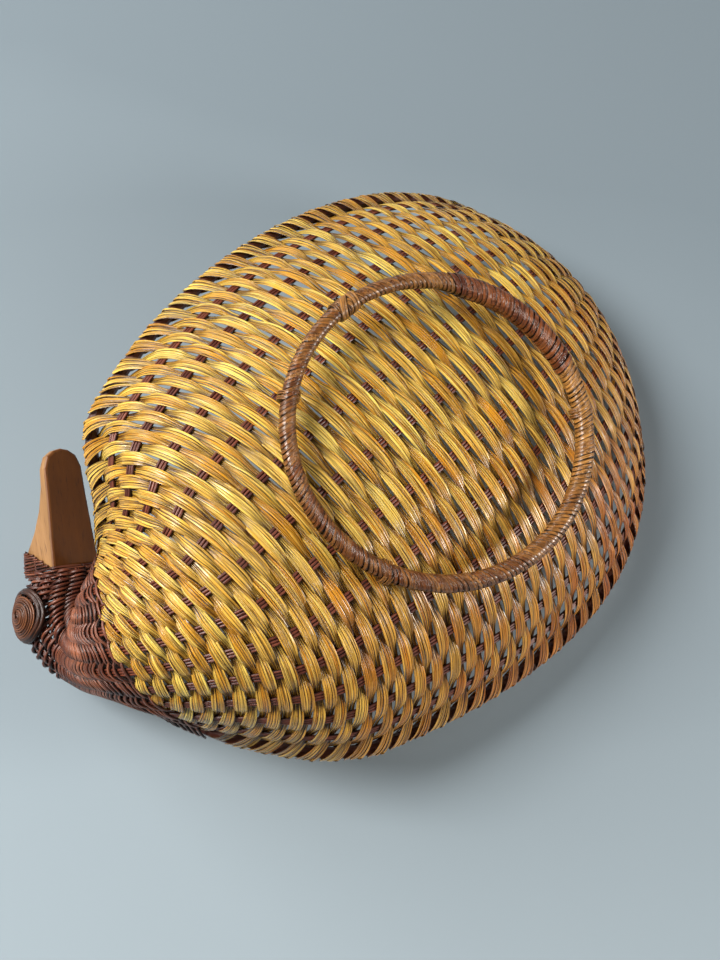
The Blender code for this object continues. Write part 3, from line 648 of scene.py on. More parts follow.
def gold_rows(j):
    """Full rows from rim to rim, with their turns round the rod. Bundles flare where they pass outside it."""
    t = row_t[j - FIRST_ROW]
    x, share = np.broadcast_to(row_x, t.shape), np.broadcast_to(row_share, t.shape)
    offset, wave, edge = row_offset(x, j[:, None])
    moved = t + row_wander(j, x, ROW_WANDER) * (1 - edge)
    middle = wall(moved, share, offset), wall_normal(moved, share)
    turns = zip(rim_turn(j, 1), middle, rim_turn(j, -1))
    path, normal = (np.concatenate([left[:, ::-1], part, right], 1) for left, part, right in turns)
    flare = [1.28 + 0.28 * np.cos(math.pi * (j + k))[:, None] for k in (0, RIBS + 1)]
    spread = row_spread(wave, t) * (1 - edge) + np.where(x < RIBS / 2, *flare) * edge
    turned = np.linspace(0, 1, LOOP_POINTS + 1)[1:]
    at_left, at_right = (side * (1 - turned) + FLAT_WIDTH * turned for side in flare)
    spread = np.concatenate([at_left[:, ::-1], spread, at_right], 1)
    shade = np.pad(row_shade(wave) * (1 - edge), ((0, 0), (LOOP_POINTS, LOOP_POINTS)), mode="edge")
    return bundle(path, normal, spread, shade)


def gold_ends(j, first, last):
    """Rows that stop at the brown: the same path between two rib counts, its ends tucked inside."""
    x = first[:, None] + (last - first)[:, None] * np.linspace(0, 1, len(row_x))
    share = share_at(x)
    t = np.stack([np.interp(x[k], row_x, row_t[row - FIRST_ROW]) for k, row in enumerate(j)])
    offset, wave, _ = row_offset(x, j[:, None])
    near = np.minimum(x - first[:, None], last[:, None] - x)
    offset = offset - END_TUCK * np.clip(1 - near / 0.5, 0, 1) ** 2
    return bundle(wall(t, share, offset), wall_normal(t, share), row_spread(wave, t), row_shade(wave))


inside = row_t < brown_border(row_share)
full = inside.all(axis=1)
first_x = np.array([row_x[np.argmax(m)] for m in inside])
last_x = np.array([row_x[len(m) - 1 - np.argmax(m[::-1])] for m in inside])
short = inside.any(axis=1) & ~full & (last_x - first_x > 0.8)
print("full rows:", full.sum(), "short rows:", short.sum())

# %% [markdown]
# ## The gold bowl
#
# The bowl is one weave, but a single mesh of half a million triangles is awkward to handle and to edit.
# It is made as four stretches that meet along rows, which is also how the solids are divided.

# %% Four stretches of gold
STRETCHES = {  # the solid that a stretch stands for, and its first and last place at the keel
    "tail_straw": ("weave_tail", 0, 0.85),
    "rear_straw": ("weave_middle", 0.85, 1.33),
    "belly_straw": ("weave_middle", 1.33, 1.83),
    "shoulder_straw": ("weave_front", 1.83, SKIN_END),
}
for name, (replaced, start, end) in STRETCHES.items():
    groups = [gold_rows(rows[full & (keel_t >= start) & (keel_t < end)])]
    if name == "shoulder_straw":
        groups.append(gold_ends(rows[short], first_x[short], last_x[short]))
    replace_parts(strand_piece(name, groups, GOLD), replaced)

# %% [markdown]
# ## The brown breast
#
# On the breast single flat strands are beaten so close that the ribs hardly show, and they lean to and
# fro in waves. The rows fan out: they leave the slanted edge of the gold and must end square to the
# neck. A straight blend between these two lines gives every row its place.

# %% Rows of the breast
BREAST_ROWS, BREAST_STEPS = 60, 7
BREAST_LEAN, BREAST_WANDER = 0.013, 0.004
BREAST_FILL, BREAST_FLAT = 0.85, 0.78  # half width to the rows' distance, and thickness to width
BREAST_LEAST, BREAST_MOST = 0.0003, 0.00072
RIM_ROD_END = 2.728


def breast_rows():
    """t blends from the gold's border to the neck by the row's number; a cosine of the rib count leans it."""
    j = np.arange(BREAST_ROWS)
    x = np.linspace(0, RIBS + 1, (RIBS + 1) * BREAST_STEPS + 1)
    x = np.broadcast_to(x, (len(j), len(x)))
    share = share_at(x)
    fraction = ((j - 0.8) / (BREAST_ROWS - 1.4))[:, None]
    lean = BREAST_LEAN * np.cos(math.pi * x) * np.sin(math.pi * np.clip(fraction, 0, 1)) ** 0.5
    t = brown_border(share) * (1 - fraction) + NECK_START * fraction + lean
    offset, wave, _ = row_offset(x, j[:, None])
    offset = np.where(t > RIM_ROD_END, MIDDLE_OF_WALL + WEAVE_DEPTH * wave, offset)
    t = t + row_wander(j, x, BREAST_WANDER)
    reach = np.linalg.norm(wall_middle(t + 0.01, share) - wall_middle(t - 0.01, share), axis=-1) / 0.02
    reach = reach * (NECK_START - brown_border(share)) / BREAST_ROWS
    half = np.clip(reach * BREAST_FILL, BREAST_LEAST, BREAST_MOST)
    tan = np.exp(-((fraction - 0.36) / 0.12) ** 2) * np.clip(1.2 - 2 * share, 0, 1)
    tone = np.clip(rng.normal(0.34, 0.16, (len(j), 1)) + 0.8 * tan, 0, 1)
    # the last value is painted shade: darker where a strand passes inside a rib
    return wall(t, share, offset), wall_normal(t, share), half, half * BREAST_FLAT, tone, 0.35 * (1 - wave)


breast = strand_piece("breast_strands", [breast_rows()], BROWN, ROUND)
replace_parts(breast, "breast_weave")

# %% [markdown]
# ## The neck and the head
#
# Here the strands are thin round rods, and the rows are full rings, open enough to see the dark ribs
# between them. As the neck turns, the rings fan out on its outer side by themselves, because each
# stays at one place along the duck. Twelve ribs make the over and under meet where a ring closes.

# %% Rings of the neck and the head
RING_STEPS, RING_ROD = 6, 0.00066
RING_DEPTH, RING_DRIFT, RING_RIPPLE = WEAVE_DEPTH + 0.0004, 0.0028, 0.0016
RINGS = 13  # on the neck, and as many on the head


def neck_rings(first, last, number):
    """Thin rods in rings at even places t, in and out by the cosine of rib count plus ring number."""
    j = np.arange(number, number + RINGS)
    x = np.linspace(0.5, RIBS + 0.5, RIBS * RING_STEPS + 1)[:-1]
    x = np.broadcast_to(x, (RINGS, len(x)))
    edge = share_at(1.0)
    share = np.where(x < 1, 1 - (x - 0.5) * 2 * (1 - edge), share_at(x))
    share = np.where(x > RIBS, -edge - (x - RIBS) * 2 * (1 - edge), share)
    wave = np.cos(math.pi * (x + j[:, None]))
    phase = rng.uniform(0, 2 * math.pi, (RINGS, 1))
    drift = RING_DRIFT * np.sin(2 * math.pi * share + phase)
    drift = drift + RING_RIPPLE * np.sin(6 * math.pi * share + 2 * phase)
    place = np.minimum(np.linspace(first, last, RINGS)[:, None] + drift, SKIN_END - 0.0005)
    offset = MIDDLE_OF_WALL + RING_DEPTH * wave
    tone = random_tones(0.14, 0.16, (RINGS, 1))
    size = RING_ROD * rng.uniform(0.9, 1.1, (RINGS, 1)) * (0.95 + 0.2 * wave)
    # the last value is painted shade: darker where a ring passes inside a rib
    return [(wall(place, share, offset), wall_normal(place, share), size, size, tone, 0.75 * (1 - wave))]


for name, replaced, first, last, number in (
    ("neck_rings", "neck_weave", NECK_START + 0.006, HEAD_START - 0.007, 0),
    ("head_rings", "head_weave", HEAD_START + 0.006, SKIN_END - 0.004, RINGS),
):
    rings = neck_rings(first, last, number)
    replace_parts(strand_piece(name, rings, BROWN, ROUND, closed=True), replaced)

# %% [markdown]
# ## The collar that holds the bill
#
# The bill is let into the end of the tube, and the last strands are drawn in round it. On top of the
# bill the weave climbs further forward, over the ends of the ribs, so it is deeper there than below.
# Each strand is carried round the bill's outline, a rounded box, and its reach forward follows the top.

# %% The bill's own directions and the collar's form
BILL_ROLL = math.radians(26)
BILL_HALF_WIDTH, BILL_LOW = 0.0115, -0.0078
BILL_TOP_AT, BILL_TOP = [0, 0.0082, 0.0168], [0.0137, 0.0119, 0.0052]
COLLAR_REACH, COLLAR_PITCH, COLLAR_ROD = 0.0105, 0.00115, 0.00056
heading, pitch = SECTIONS[-1][:2]
BILL_FORWARD = np.array([
    math.cos(pitch) * math.cos(heading), math.cos(pitch) * math.sin(heading), math.sin(pitch)
])
plain_right = np.array([math.sin(heading), -math.cos(heading), 0])
plain_top = np.cross(plain_right, BILL_FORWARD)
BILL_RIGHT = math.cos(BILL_ROLL) * plain_right - math.sin(BILL_ROLL) * plain_top
BILL_UP = math.cos(BILL_ROLL) * plain_top + math.sin(BILL_ROLL) * plain_right
BILL_ORIGIN = SPINE[-1] + PLACE_SHIFT
COLLAR_START_RADIUS = BREAST_AND_NECK[-1, 7] * NECK_RADIUS + MIDDLE_OF_WALL - 0.0009


def smooth(u):
    """From 0 to 1 as u does, level at both ends: u^2 (3 - 2u)."""
    u = np.clip(u, 0, 1)
    return u * u * (3 - 2 * u)


def collar_point(angle, ahead, out):
    """Round the bill by angle from its top: a rounded box of power 8, grown from the tube's round end and
    never narrower than the bill itself."""
    top = np.interp(ahead, BILL_TOP_AT, BILL_TOP)
    tall = np.where(np.cos(angle) > 0, top, -BILL_LOW) + out
    wide = BILL_HALF_WIDTH + out
    box = ((np.abs(np.sin(angle)) / wide) ** 8 + (np.abs(np.cos(angle)) / tall) ** 8) ** -0.125
    blend_in = smooth((ahead + 0.0005) / np.where(np.cos(angle) > -0.3, 0.009, 0.003))
    radius = (1 - blend_in) * (COLLAR_START_RADIUS + out) + blend_in * box
    radius = radius + smooth(1 + ahead / 0.008) * np.maximum(box - radius, 0)
    return (
        BILL_ORIGIN + ahead[..., None] * BILL_FORWARD
        + (radius * np.sin(angle))[..., None] * BILL_RIGHT + (radius * np.cos(angle))[..., None] * BILL_UP
    )


def collar_reach(angle):
    """How far forward the weave comes: none below, the whole reach on top, between them by the height."""
    return COLLAR_REACH * np.clip((np.cos(angle) * 1.25 + 0.55) / 1.8, 0, 1)


print("the bill points to", BILL_FORWARD.round(3))


# %% Strands drawn in round the bill
COLLAR_LIFT, COLLAR_DEPTH, COLLAR_TUCK = 0.0012, 0.00045, 0.0007


def collar_strands():
    """Each row goes round as far as the reach allows, over and under by the rib count. The ends of the ribs
    come after the rows."""
    groups = []
    for row in range(-6, 9):
        ahead = -0.0004 + COLLAR_PITCH * row
        angle = np.linspace(-math.pi, math.pi, 97)
        within = collar_reach(angle) > ahead - 0.0016
        last = math.pi if within.all() else np.abs(angle[within]).max()
        angle = np.linspace(-last, last, 73)
        wave = np.cos(math.pi * (angle / (2 * math.pi) * RIBS + row))
        place = ahead + 0.0003 * np.sin(3 * angle + row)
        tuck = COLLAR_TUCK * np.clip(1 - (last - np.abs(angle)) / 0.12, 0, 1) * (last < math.pi)
        path = collar_point(angle, place, COLLAR_LIFT + COLLAR_DEPTH * wave - tuck)
        normal = unit(collar_point(angle, place, 0.003) - collar_point(angle, place, 0.0))
        # the last value is painted shade: darker where a row passes under a rib
        groups.append((path, normal, COLLAR_ROD, COLLAR_ROD, random_tones(0.3, 0.15), 0.25 * (1 - wave)))
    for rib in range(RIBS):
        angle = np.full(12, (rib + 0.5) / RIBS * 2 * math.pi)
        place = np.linspace(-0.002, 1, 12) * (collar_reach(angle) + 0.0012)
        if place[-1] < 0.004:
            continue
        path = collar_point(angle, place, 0.0011)
        normal = unit(path - BILL_ORIGIN - place[:, None] * BILL_FORWARD)
        # the last value is a little painted shade on the ribs' ends
        groups.append((path, normal, 0.0006, 0.0006, 0.2, 0.3))
    return groups


strand_piece("collar_of_bill", collar_strands(), BROWN, ROUND)

# %% [markdown]
# ## The ribs
#
# A rib is not one stick but three thin rods side by side, and the light catches each of them where the
# straw leaves it bare. They run between the over and the under of the weave from the tail's rim to the
# bill. Each rod is a circle carried along the wall at a fixed share of the rim's angle.

# %% Three rods a rib
RIB_ROD_RADIUS = 0.00066
rib_t = np.concatenate([
    np.linspace(TAIL_END - CAP_SPAN + 0.004, TAIL_END, 8)[:-1],
    np.linspace(TAIL_END, BOWL_END, 90)[:-1], np.linspace(BOWL_END, SKIN_END - 0.002, 70),
])
rib_radius = RIB_ROD_RADIUS * (1 - 0.18 * np.clip((rib_t - BOWL_END) / (NECK_START - BOWL_END), 0, 1))


def rib_rods(number):
    """Rods at -1, 0 and +1 diameters across the rib's line, drawn together a little in the neck."""
    share = share_at(float(number))
    line, normal = wall(rib_t, share, MIDDLE_OF_WALL), wall_normal(rib_t, share)
    _, side = along_and_side(line, normal)
    lanes = np.array([-1, 0, 1])[:, None]
    path = line + (lanes * 2.02 * rib_radius)[..., None] * side
    tone = random_tones(0.4, 0.2, (3, 1))
    return path, np.broadcast_to(normal, path.shape), rib_radius, rib_radius, tone, 0.0


for number in range(1, RIBS + 1):
    rib = strand_piece(f"rods_of_rib_{number:02d}", [rib_rods(number)], ROD, OCTAGON)
    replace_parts(rib, f"rib_{number:02d}")

# %% [markdown]
# ## The foot hoop
#
# The foot is a hoop of cane, bound all round with a flat strand, turn against turn. A ring with a
# bumpy finish would look like rubber. The binding is really wound here: a ribbon on a helix round
# the hoop, a little tilted, and thicker and darker on the stretch where the hoop's ends overlap.

# %% The hoop's line and how thick it is
FOOT_LENGTH, FOOT_WIDTH = 0.129, 0.119
FOOT_MIDDLE_X, FOOT_TURN = -0.004, math.radians(16)
FOOT_AXIS_HEIGHT, FOOT_RADIUS = 0.0035, 0.004
KNOT_ANGLE, TIE_ANGLES = math.radians(74), np.radians([-42, 34, 196])
SPLICE_ANGLES = np.radians([118, 176])
UP = np.array([0, 0, 1.0])


def hoop_radius(angle):
    """4 mm, less near the knot, 5.2 mm on the splice, then tapering down the right side."""
    return np.interp(np.degrees(angle) % 360, [0, 40, 74, 95, 112, 118, 122, 160, 176, 177, 230, 300, 360],
                     [3.7, 3.5, 3.4, 3.4, 3.7, 4.6, 5.1, 5.2, 5.0, 4.4, 4.2, 3.9, 3.7]) / 1000


def hoop_point(angle):
    """An oval turned about the vertical, raised where the splice is thicker and at the knot."""
    x, y = FOOT_LENGTH / 2 * np.cos(angle), FOOT_WIDTH / 2 * np.sin(angle)
    at_knot = np.exp(-((np.degrees(angle) % 360 - math.degrees(KNOT_ANGLE)) / 9) ** 2)
    return np.stack([
        FOOT_MIDDLE_X + x * math.cos(FOOT_TURN) - y * math.sin(FOOT_TURN) + PLACE_SHIFT[0],
        x * math.sin(FOOT_TURN) + y * math.cos(FOOT_TURN) + PLACE_SHIFT[1],
        FOOT_AXIS_HEIGHT + hoop_radius(angle) - FOOT_RADIUS + 0.0009 * at_knot,
    ], -1)


def hoop_frame(angle, before=1e-4, after=1e-4):
    """The hoop's line, its level direction ahead, from before the angle to after it, and the one outwards."""
    ahead = hoop_point(angle + after) - hoop_point(angle - before)
    ahead[..., 2] = 0
    ahead = unit(ahead)
    return hoop_point(angle), ahead, np.stack([ahead[..., 1], -ahead[..., 0], 0 * ahead[..., 0]], -1)


print("hoop from", hoop_point(np.array(0.0)).round(4), "to", hoop_point(np.array(math.pi)).round(4))


# %% The binding
RIBBON_LEAN, RIBBON_SUNK, RIBBON_HALF_THICK = 0.0026, 0.00055, 0.00026
THIN_PITCH, THICK_PITCH = 0.0019, 0.0024


def hoop_winding(start, end, pitch, tone_at, points=14):
    """Helix round the hoop: the angle round its section turns once each pitch. Pitch, height, tone and width
    differ a little from turn to turn."""
    fine = np.linspace(start, end, 3000)
    length = length_along(hoop_point(fine), 0)
    turns = int(length[-1] / pitch)
    wind = np.linspace(0, turns, turns * points + 1)

    def each_turn(values):
        """Values at whole turns, and straight between them."""
        return np.interp(wind, np.arange(turns + 1), values)

    stops = np.insert(np.cumsum(rng.uniform(0.78, 1.22, turns)), 0, 0)
    angle = np.interp(each_turn(stops / stops[-1] * length[-1]), length, fine)
    centre, ahead, out = hoop_frame(angle)
    phase = (wind * 2 * math.pi)[:, None]
    radial = np.cos(phase) * out + np.sin(phase) * UP
    lean = -RIBBON_LEAN * np.cos(phase) * ahead
    stand = each_turn(rng.uniform(-0.00014, 0.0001, turns + 1))
    path = centre + (hoop_radius(angle) - RIBBON_SUNK + stand)[:, None] * radial + lean
    tone = tone_at(np.degrees(angle) % 360) + each_turn(rng.normal(0, 0.2, turns + 1))
    wide = each_turn(rng.uniform(0.43, 0.52, turns + 1)) * pitch
    return path, radial, wide, RIBBON_HALF_THICK, np.clip(tone, 0, 1), 0.0


def hoop_tone(degrees):
    """Darker at the knot, pale just past the splice, darkest on the side towards the tail."""
    return np.interp(degrees, [0, 60, 100, 118, 176, 177, 215, 260, 300, 360],
                     [0.2, 0.25, 0.5, 0.4, 0.35, 0.9, 0.8, 0.35, 0.1, 0.15])


def core_rod(start, end, steps):
    """The cane inside the binding, which shows only in the slits between the turns, in painted shade."""
    angle = np.linspace(start, end, steps)
    line, radius = hoop_point(angle), hoop_radius(angle) - 0.0011
    return line, np.broadcast_to(UP, line.shape), radius, radius, 0.2, 0.8


first, last = SPLICE_ANGLES
around = last + 0.004, first - 0.004 + 2 * math.pi
thin = [hoop_winding(*around, THIN_PITCH, hoop_tone), core_rod(*around, 150)]
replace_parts(strand_piece("hoop_binding", thin, BINDING), "foot_hoop")
thick = [hoop_winding(first, last, THICK_PITCH, lambda degrees: 0.3), core_rod(first, last, 40)]
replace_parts(strand_piece("splice_binding", thick, SPLICE), "foot_splice")

# %% [markdown]
# ## The knot and the ties
#
# A few strands hold the hoop to the belly, and one of them is knotted on its left side, with strands
# that cross. The ties are short helices from the hoop up to the weave. Each is wound from two thin
# strands that run together, fuller than the single strand of the solid.

# %% Short windings between the hoop and the belly
TIE_TOP = 0.0083
KNOT_STRAND, TIE_STRAND, LOOP_HALF_WIDTH = 0.0018, 0.0016, 0.0009
NEXT = 1e-3  # a small step along the hoop, which gives its direction


def tie(spot, turns, strand):
    """Helix as an oval: out from the hoop by its sine, from the floor side to the belly by its cosine."""
    wind = np.linspace(0, turns, turns * 24 + 1)
    middle, ahead, out = hoop_frame(spot, 0, NEXT)
    low = strand / 2 + 0.0001
    sin, cos = np.sin(wind * 2 * math.pi)[:, None], np.cos(wind * 2 * math.pi)[:, None]
    path = (
        middle * np.array([1, 1, 0]) + (hoop_radius(spot) + 0.0002) * sin * out
        + ((TIE_TOP + low) / 2 - (TIE_TOP - low) / 2 * cos) * UP
        + ((wind / turns - 0.5) * turns * strand * 1.35)[:, None] * ahead
    )
    both = np.stack([path + lane * strand * 0.27 * ahead for lane in (-1, 1)])
    return both, np.broadcast_to(sin * out - cos * UP, both.shape), strand * 0.29, strand * 0.4, 0.4, 0.0


def crossed_loops(lean, shift, turns=2):
    """Loops close round the hoop, each leaning along it by a sine, so that two of opposite lean cross."""
    wind = np.linspace(0, turns, turns * 24 + 1)
    phase = (wind * 2 * math.pi)[:, None]
    middle, ahead, out = hoop_frame(KNOT_ANGLE, 0, NEXT)
    radial = np.cos(phase) * out + np.sin(phase) * UP
    along = lean * np.sin(phase + math.pi / 4) + shift + 0.0016 * (wind - turns / 2)[:, None]
    radius = hoop_radius(KNOT_ANGLE) + 0.0001 + 0.0002 * np.sign(lean)
    path = middle + radius * radial + along * ahead
    return path, radial, LOOP_HALF_WIDTH, LOOP_HALF_WIDTH * 0.42, 0.62, 0.0


knot = [tie(KNOT_ANGLE, 3, KNOT_STRAND)]
knot += [crossed_loops(*loop) for loop in ((0.0030, 0.0003), (-0.0030, -0.0003), (0.0002, 0.0042))]
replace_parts(strand_piece("knot_strands", knot, BINDING), "foot_knot")
for name, spot in zip(("front", "left", "rear"), TIE_ANGLES):
    piece = strand_piece(f"tie_{name}", [tie(spot, 2, TIE_STRAND)], BINDING, OCTAGON)
    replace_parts(piece, f"foot_lashing_{name}")

# %% [markdown]
# ## The eyes
#
# Each eye is a strand of cane coiled flat and held by a darker ring. The coil is a true spiral in the
# plane that touches the head. To follow the round head, each point of the plane is carried back to the
# wall by a few steps of correction along and around it.

# %% A flat patch on the round head
EYE_RADIUS, EYE_STRAND, EYE_TURNS = 0.0105, 0.0021, 3
EYE_LIFT, EYE_DOME, EYE_RING_ROD = 0.0019, 0.0022, 0.0012
EYE_PLACE = HEAD_START + (SKIN_END - HEAD_START) * 0.1


def head_patch(side, across, upward, lift, step=1e-3):
    """Points of the wall whose places in the touching plane are across and upward, and their normals."""
    angle = side * math.pi / 2 + BILL_ROLL
    girth = through(SECTIONS, SECTION_SLOPES, np.array([EYE_PLACE]))[0, 2] + 0.002

    def at(t, a):
        """The lifted wall at t, with the angle a as a share of the half turn that the rim is here."""
        return wall(t, a / math.pi, lift)

    middle = at(EYE_PLACE, angle)
    along = at(EYE_PLACE + step, angle) - middle
    speed = np.linalg.norm(along) / step
    along = unit(along)
    around = at(EYE_PLACE, angle + step) - middle
    around = unit(around - along * (around @ along))
    t, a = EYE_PLACE + across / speed, angle + upward / girth
    for _ in range(25):
        points = at(t, a)
        t = np.clip(t + (across - (points - middle) @ along) / speed, NECK_START, SKIN_END - 0.001)
        a = a + (upward - (points - middle) @ around) / girth
    return at(t, a), wall_normal(t, a / math.pi)


print("eyes at t %.3f" % EYE_PLACE)


# %% Coiled eyes
def eye_strands(side):
    """A spiral of three strands side by side that rises to the middle, and a ring of two round it."""
    turn = np.linspace(0, EYE_TURNS, EYE_TURNS * 28 + 1)
    inner = EYE_STRAND * 0.45
    radius = inner + (EYE_RADIUS - EYE_STRAND / 2 - inner) * turn / EYE_TURNS
    size, groups = EYE_STRAND * 0.24, []
    for lane in (-1, 0, 1):
        r = radius + lane * EYE_STRAND * 0.42
        angle = 2 * math.pi * turn
        path, normal = head_patch(side, r * np.cos(angle), r * np.sin(angle), EYE_LIFT)
        dome = EYE_DOME * (1 - (r / EYE_RADIUS) ** 2)
        groups.append((path + dome[:, None] * normal, normal, size, size * 1.1, 0.55 + 0.2 * lane, 0.0))
    ring = np.linspace(0, 2 * math.pi, 49)
    for lift, grow in ((0.0011, 1.0), (EYE_LIFT, 0.93)):
        r = EYE_RADIUS * grow
        patch = head_patch(side, r * np.cos(ring), r * np.sin(ring), lift)
        groups.append((*patch, EYE_RING_ROD, EYE_RING_ROD, 0.05, 0.5))
    return groups


for name, side in (("eye_right", -1), ("eye_left", 1)):
    piece = strand_piece(name.replace("eye", "coil_of_eye"), eye_strands(side), EYE, OCTAGON)
    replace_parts(piece, name)

# %% [markdown]
# ## Wood and rods that keep their solid
#
# The bill is a sawn block and the rim a plain round rod, so their solids already have the right shape,
# and only a finish is added. The bill's grain runs along it. It is drawn as noise, broad and fine, that
# is stretched along the bill's own direction, with pores as short dark dashes. Its lower face gets painted
# shade.

# %% Bill and rim finishes
BILL_TURN = math.atan2(BILL_FORWARD[1], BILL_FORWARD[0])
BILL_LOW_HEIGHT = float((BILL_ORIGIN + BILL_LOW * BILL_UP) @ BILL_UP)


def wood_finish():
    """Grain and pores from noise, stretched along object coordinates that are turned with the bill. Its
    lower face gets painted shade: its colour is multiplied by a darker one."""
    made, tree, shader = new_finish("bill_wood_finish")
    place = own_place(tree)
    turned = node(tree, "Mapping", {"Vector": place, "Rotation": (0, 0, -BILL_TURN)}, vector_type="POINT")[0]

    def stretched(along, across, detail, **more):
        """Noise so many to the metre along the bill and across it."""
        scaled = node(tree, "Mapping", {"Vector": turned, "Scale": (along, across, across)})[0]
        return noise(tree, scaled, 1.0, detail, **more)

    broad, fine = stretched(12.0, 90.0, 3.0), stretched(25.0, 420.0, 2.0, Distortion=0.4)
    pore = stretched(120.0, 1400.0, 2.0)
    grain = maths(tree, "MULTIPLY_ADD", broad, 0.7, maths(tree, "MULTIPLY", fine, 0.6))
    grain = maths(tree, "MULTIPLY_ADD", grain, 1.6, -0.55, clamp=True)
    colour = blend(tree, grain, rgb("825C34"), rgb("B4885A"))
    # painted shade: the bill's lower face is made darker
    height = node(tree, "VectorMath", {0: place, 1: tuple(BILL_UP)}, operation="DOT_PRODUCT")["Value"]
    low = fade(tree, height, BILL_LOW_HEIGHT + 0.0016, BILL_LOW_HEIGHT + 0.0004)
    colour = blend(tree, low, colour, blend(tree, 1.0, colour, rgb("AC8856"), "MULTIPLY"))
    dark = maths(tree, "MULTIPLY", fade(tree, pore, 0.42, 0.3), 0.6)
    colour = blend(tree, dark, colour, rgb("3E2414"))
    dress(tree, shader, colour, maths(tree, "MULTIPLY_ADD", grain, 0.2, 0.38), pore, 0.25, 0.0002)
    return made


def rod_finish():
    """Dark cane for the rim's solid: fine and broad flecks on object coordinates."""
    made, tree, shader = new_finish("rim_rod_finish")
    place = own_place(tree)
    streak, patch = noise(tree, place, 260.0, 3.0), noise(tree, place, 40.0, 2.0)
    level = maths(tree, "MULTIPLY_ADD", streak, 0.6, maths(tree, "MULTIPLY", patch, 0.5), clamp=True)
    colour = blend(tree, level, rgb("24100A"), rgb("5E3022"))
    dress(tree, shader, colour, maths(tree, "MULTIPLY_ADD", streak, 0.25, 0.3), streak, 0.3, 0.0003)
    return made


for piece, finish in (("bill", wood_finish()), ("rim_hoop", rod_finish())):
    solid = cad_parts[piece]
    solid.data.materials.clear()
    solid.data.materials.append(finish)
    print(piece, "keeps its solid and gets", finish.name)

# %% [markdown]
# ## The stage
#
# The basket lies on its mouth and the camera looks down at its belly. The duck itself stays upright
# here, so the camera is under it, and the sheet it lies on is a plane over its head. That sheet and the
# floor are one-sided: seen from behind they let the view through, so that every side can be looked at.

# %% One-sided sheets
SHEET_HALF = 3.0
LAY_NORMAL, LAY_DISTANCE = np.array([-0.1836, -0.2142, 0.9594]), 0.1075


def one_sided(name, colour, painted_lit_colour):
    """Matt sheet with painted light, brighter towards one side as if lit more there, that turns transparent
    where its back is seen.
    """
    made, tree, shader = new_finish(name)
    place = own_place(tree)
    x, y, _ = node(tree, "SeparateXYZ", {0: place})
    # painted light: a colour gradient across the sheet stands in for the lamps' fall-off
    painted_light_gradient = maths(tree, "MULTIPLY_ADD", y, -1.1, maths(tree, "MULTIPLY_ADD", x, 1.5, 0.3))
    painted_light_gradient = maths(tree, "MULTIPLY_ADD", noise(tree, place, 6.0, 4.0), 0.12, painted_light_gradient, clamp=True)
    tint = blend(tree, painted_light_gradient, rgb(colour), rgb(painted_lit_colour))
    feed(tree, shader, {"Base Color": tint, "Roughness": 0.9, "Specular IOR Level": 0.1})
    back = node(tree, "NewGeometry")["Backfacing"]
    mixed = node(tree, "MixShader", {0: back, 1: shader.outputs[0], 2: node(tree, "BsdfTransparent")[0]})[0]
    feed(tree, tree.nodes["Material Output"], {"Surface": mixed})
    return made


def stage_sheet(name, centre, normal, colour, painted_lit_colour):
    """A square across the normal, its front on the normal's side."""
    normal = unit(np.asarray(normal, float))
    side = unit(np.cross([0, 1.0, 0], normal))
    other = np.cross(normal, side)
    corners = [centre + SHEET_HALF * (a * side + b * other) for a, b in ((-1, -1), (1, -1), (1, 1), (-1, 1))]
    mesh = bpy.data.meshes.new(name)
    mesh.from_pydata([tuple(c) for c in corners], [], [(0, 1, 2, 3)])
    obj = put_in_scene(name, mesh)
    mesh.materials.append(one_sided(name + "_finish", colour, painted_lit_colour))
    print(name, "faces", normal.round(3))
    return obj


# the sheet's two colours are its painted shade and painted light ends
sheet = stage_sheet("backdrop_sheet", LAY_DISTANCE * LAY_NORMAL, -LAY_NORMAL, "727E86", "9DAAB2")
sheet.visible_shadow = False
floor = stage_sheet("pale_floor", np.array([0, 0, -0.0002]), UP, "D0D5D6", "D8DCDC")
for key in ("visible_shadow", "visible_diffuse", "visible_glossy", "visible_transmission"):
    setattr(floor, key, False)

# %% [markdown]
# ## Camera and light
#
# The camera's place was worked out from the lattice of ribs and rows in the photograph. Two soft lamps
# at the image's upper left give the form, one near the camera and a larger one further round, whose
# shadow falls to the lower right. Flat straws throw back a lamp like small mirrors, so a small one at the
# right makes the glints. A lamp over the duck serves the views from above.

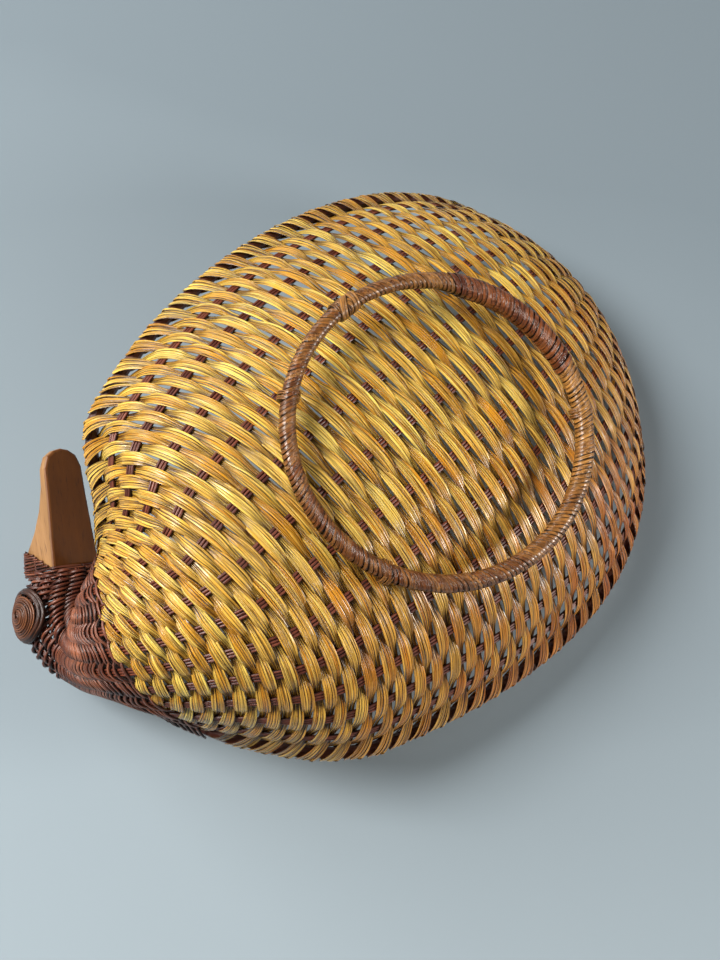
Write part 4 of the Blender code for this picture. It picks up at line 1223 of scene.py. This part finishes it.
# %% Camera
EYE_POINT = np.array([0.206154, 0.038232, -0.3634])
RIGHT = np.array([-0.6804, -0.6333, -0.3687])
DOWN = np.array([0.6002, -0.7703, 0.2155])
FORWARD = np.array([-0.4205, -0.0747, 0.9042])
SENSOR, FOCAL_PIXELS, PICTURE_HEIGHT = 36, 1100, 960
camera = put_in_scene("photo_camera", bpy.data.cameras.new("photo_camera"))
camera.data.sensor_width = SENSOR
camera.data.lens = FOCAL_PIXELS / PICTURE_HEIGHT * SENSOR
camera.data.clip_start, camera.data.clip_end = 0.01, 20
turn = Matrix(np.stack([RIGHT, -DOWN, -FORWARD], 1).tolist()).to_4x4()
camera.matrix_world = Matrix.Translation(Vector(EYE_POINT)) @ turn
bpy.context.scene.camera = camera
print("camera at", EYE_POINT)

# %% Lamps and world
MIDDLE = np.array([0, 0, 0.05])
WARM = (1.0, 0.97, 0.93)
LAMPS = {  # place, size in metres, watts, colour
    "key_lamp": (MIDDLE - 0.98 * FORWARD - 0.74 * RIGHT - 0.42 * DOWN, 0.56, 22, WARM),
    "soft_lamp": (MIDDLE - 0.62 * FORWARD - 0.95 * RIGHT - 0.80 * DOWN, 0.9, 13, WARM),
    "glint_lamp": (MIDDLE - 0.30 * FORWARD + 1.2 * RIGHT + 0.1 * DOWN, 0.38, 15, (1.0, 0.96, 0.9)),
    "top_lamp": ((-0.3, -0.5, 1.3), 0.9, 12, (1.0, 0.99, 0.97)),
}
for name, (place, size, watts, colour) in LAMPS.items():
    data = bpy.data.lights.new(name, "AREA")
    data.shape, data.size, data.energy, data.color = "DISK", size, watts, colour
    lamp = put_in_scene(name, data)
    aim = Vector(MIDDLE) - Vector(place)
    lamp.matrix_world = Matrix.Translation(Vector(place)) @ aim.to_track_quat("-Z", "Y").to_matrix().to_4x4()
world = bpy.data.worlds.new("soft_room")
bpy.context.scene.world = world
world.use_nodes = True
background = world.node_tree.nodes["Background"]
feed(world.node_tree, background, {"Color": (0.76, 0.77, 0.78, 1), "Strength": 0.21})
bpy.context.scene.view_settings.view_transform = "Standard"
print("lamps:", list(LAMPS))
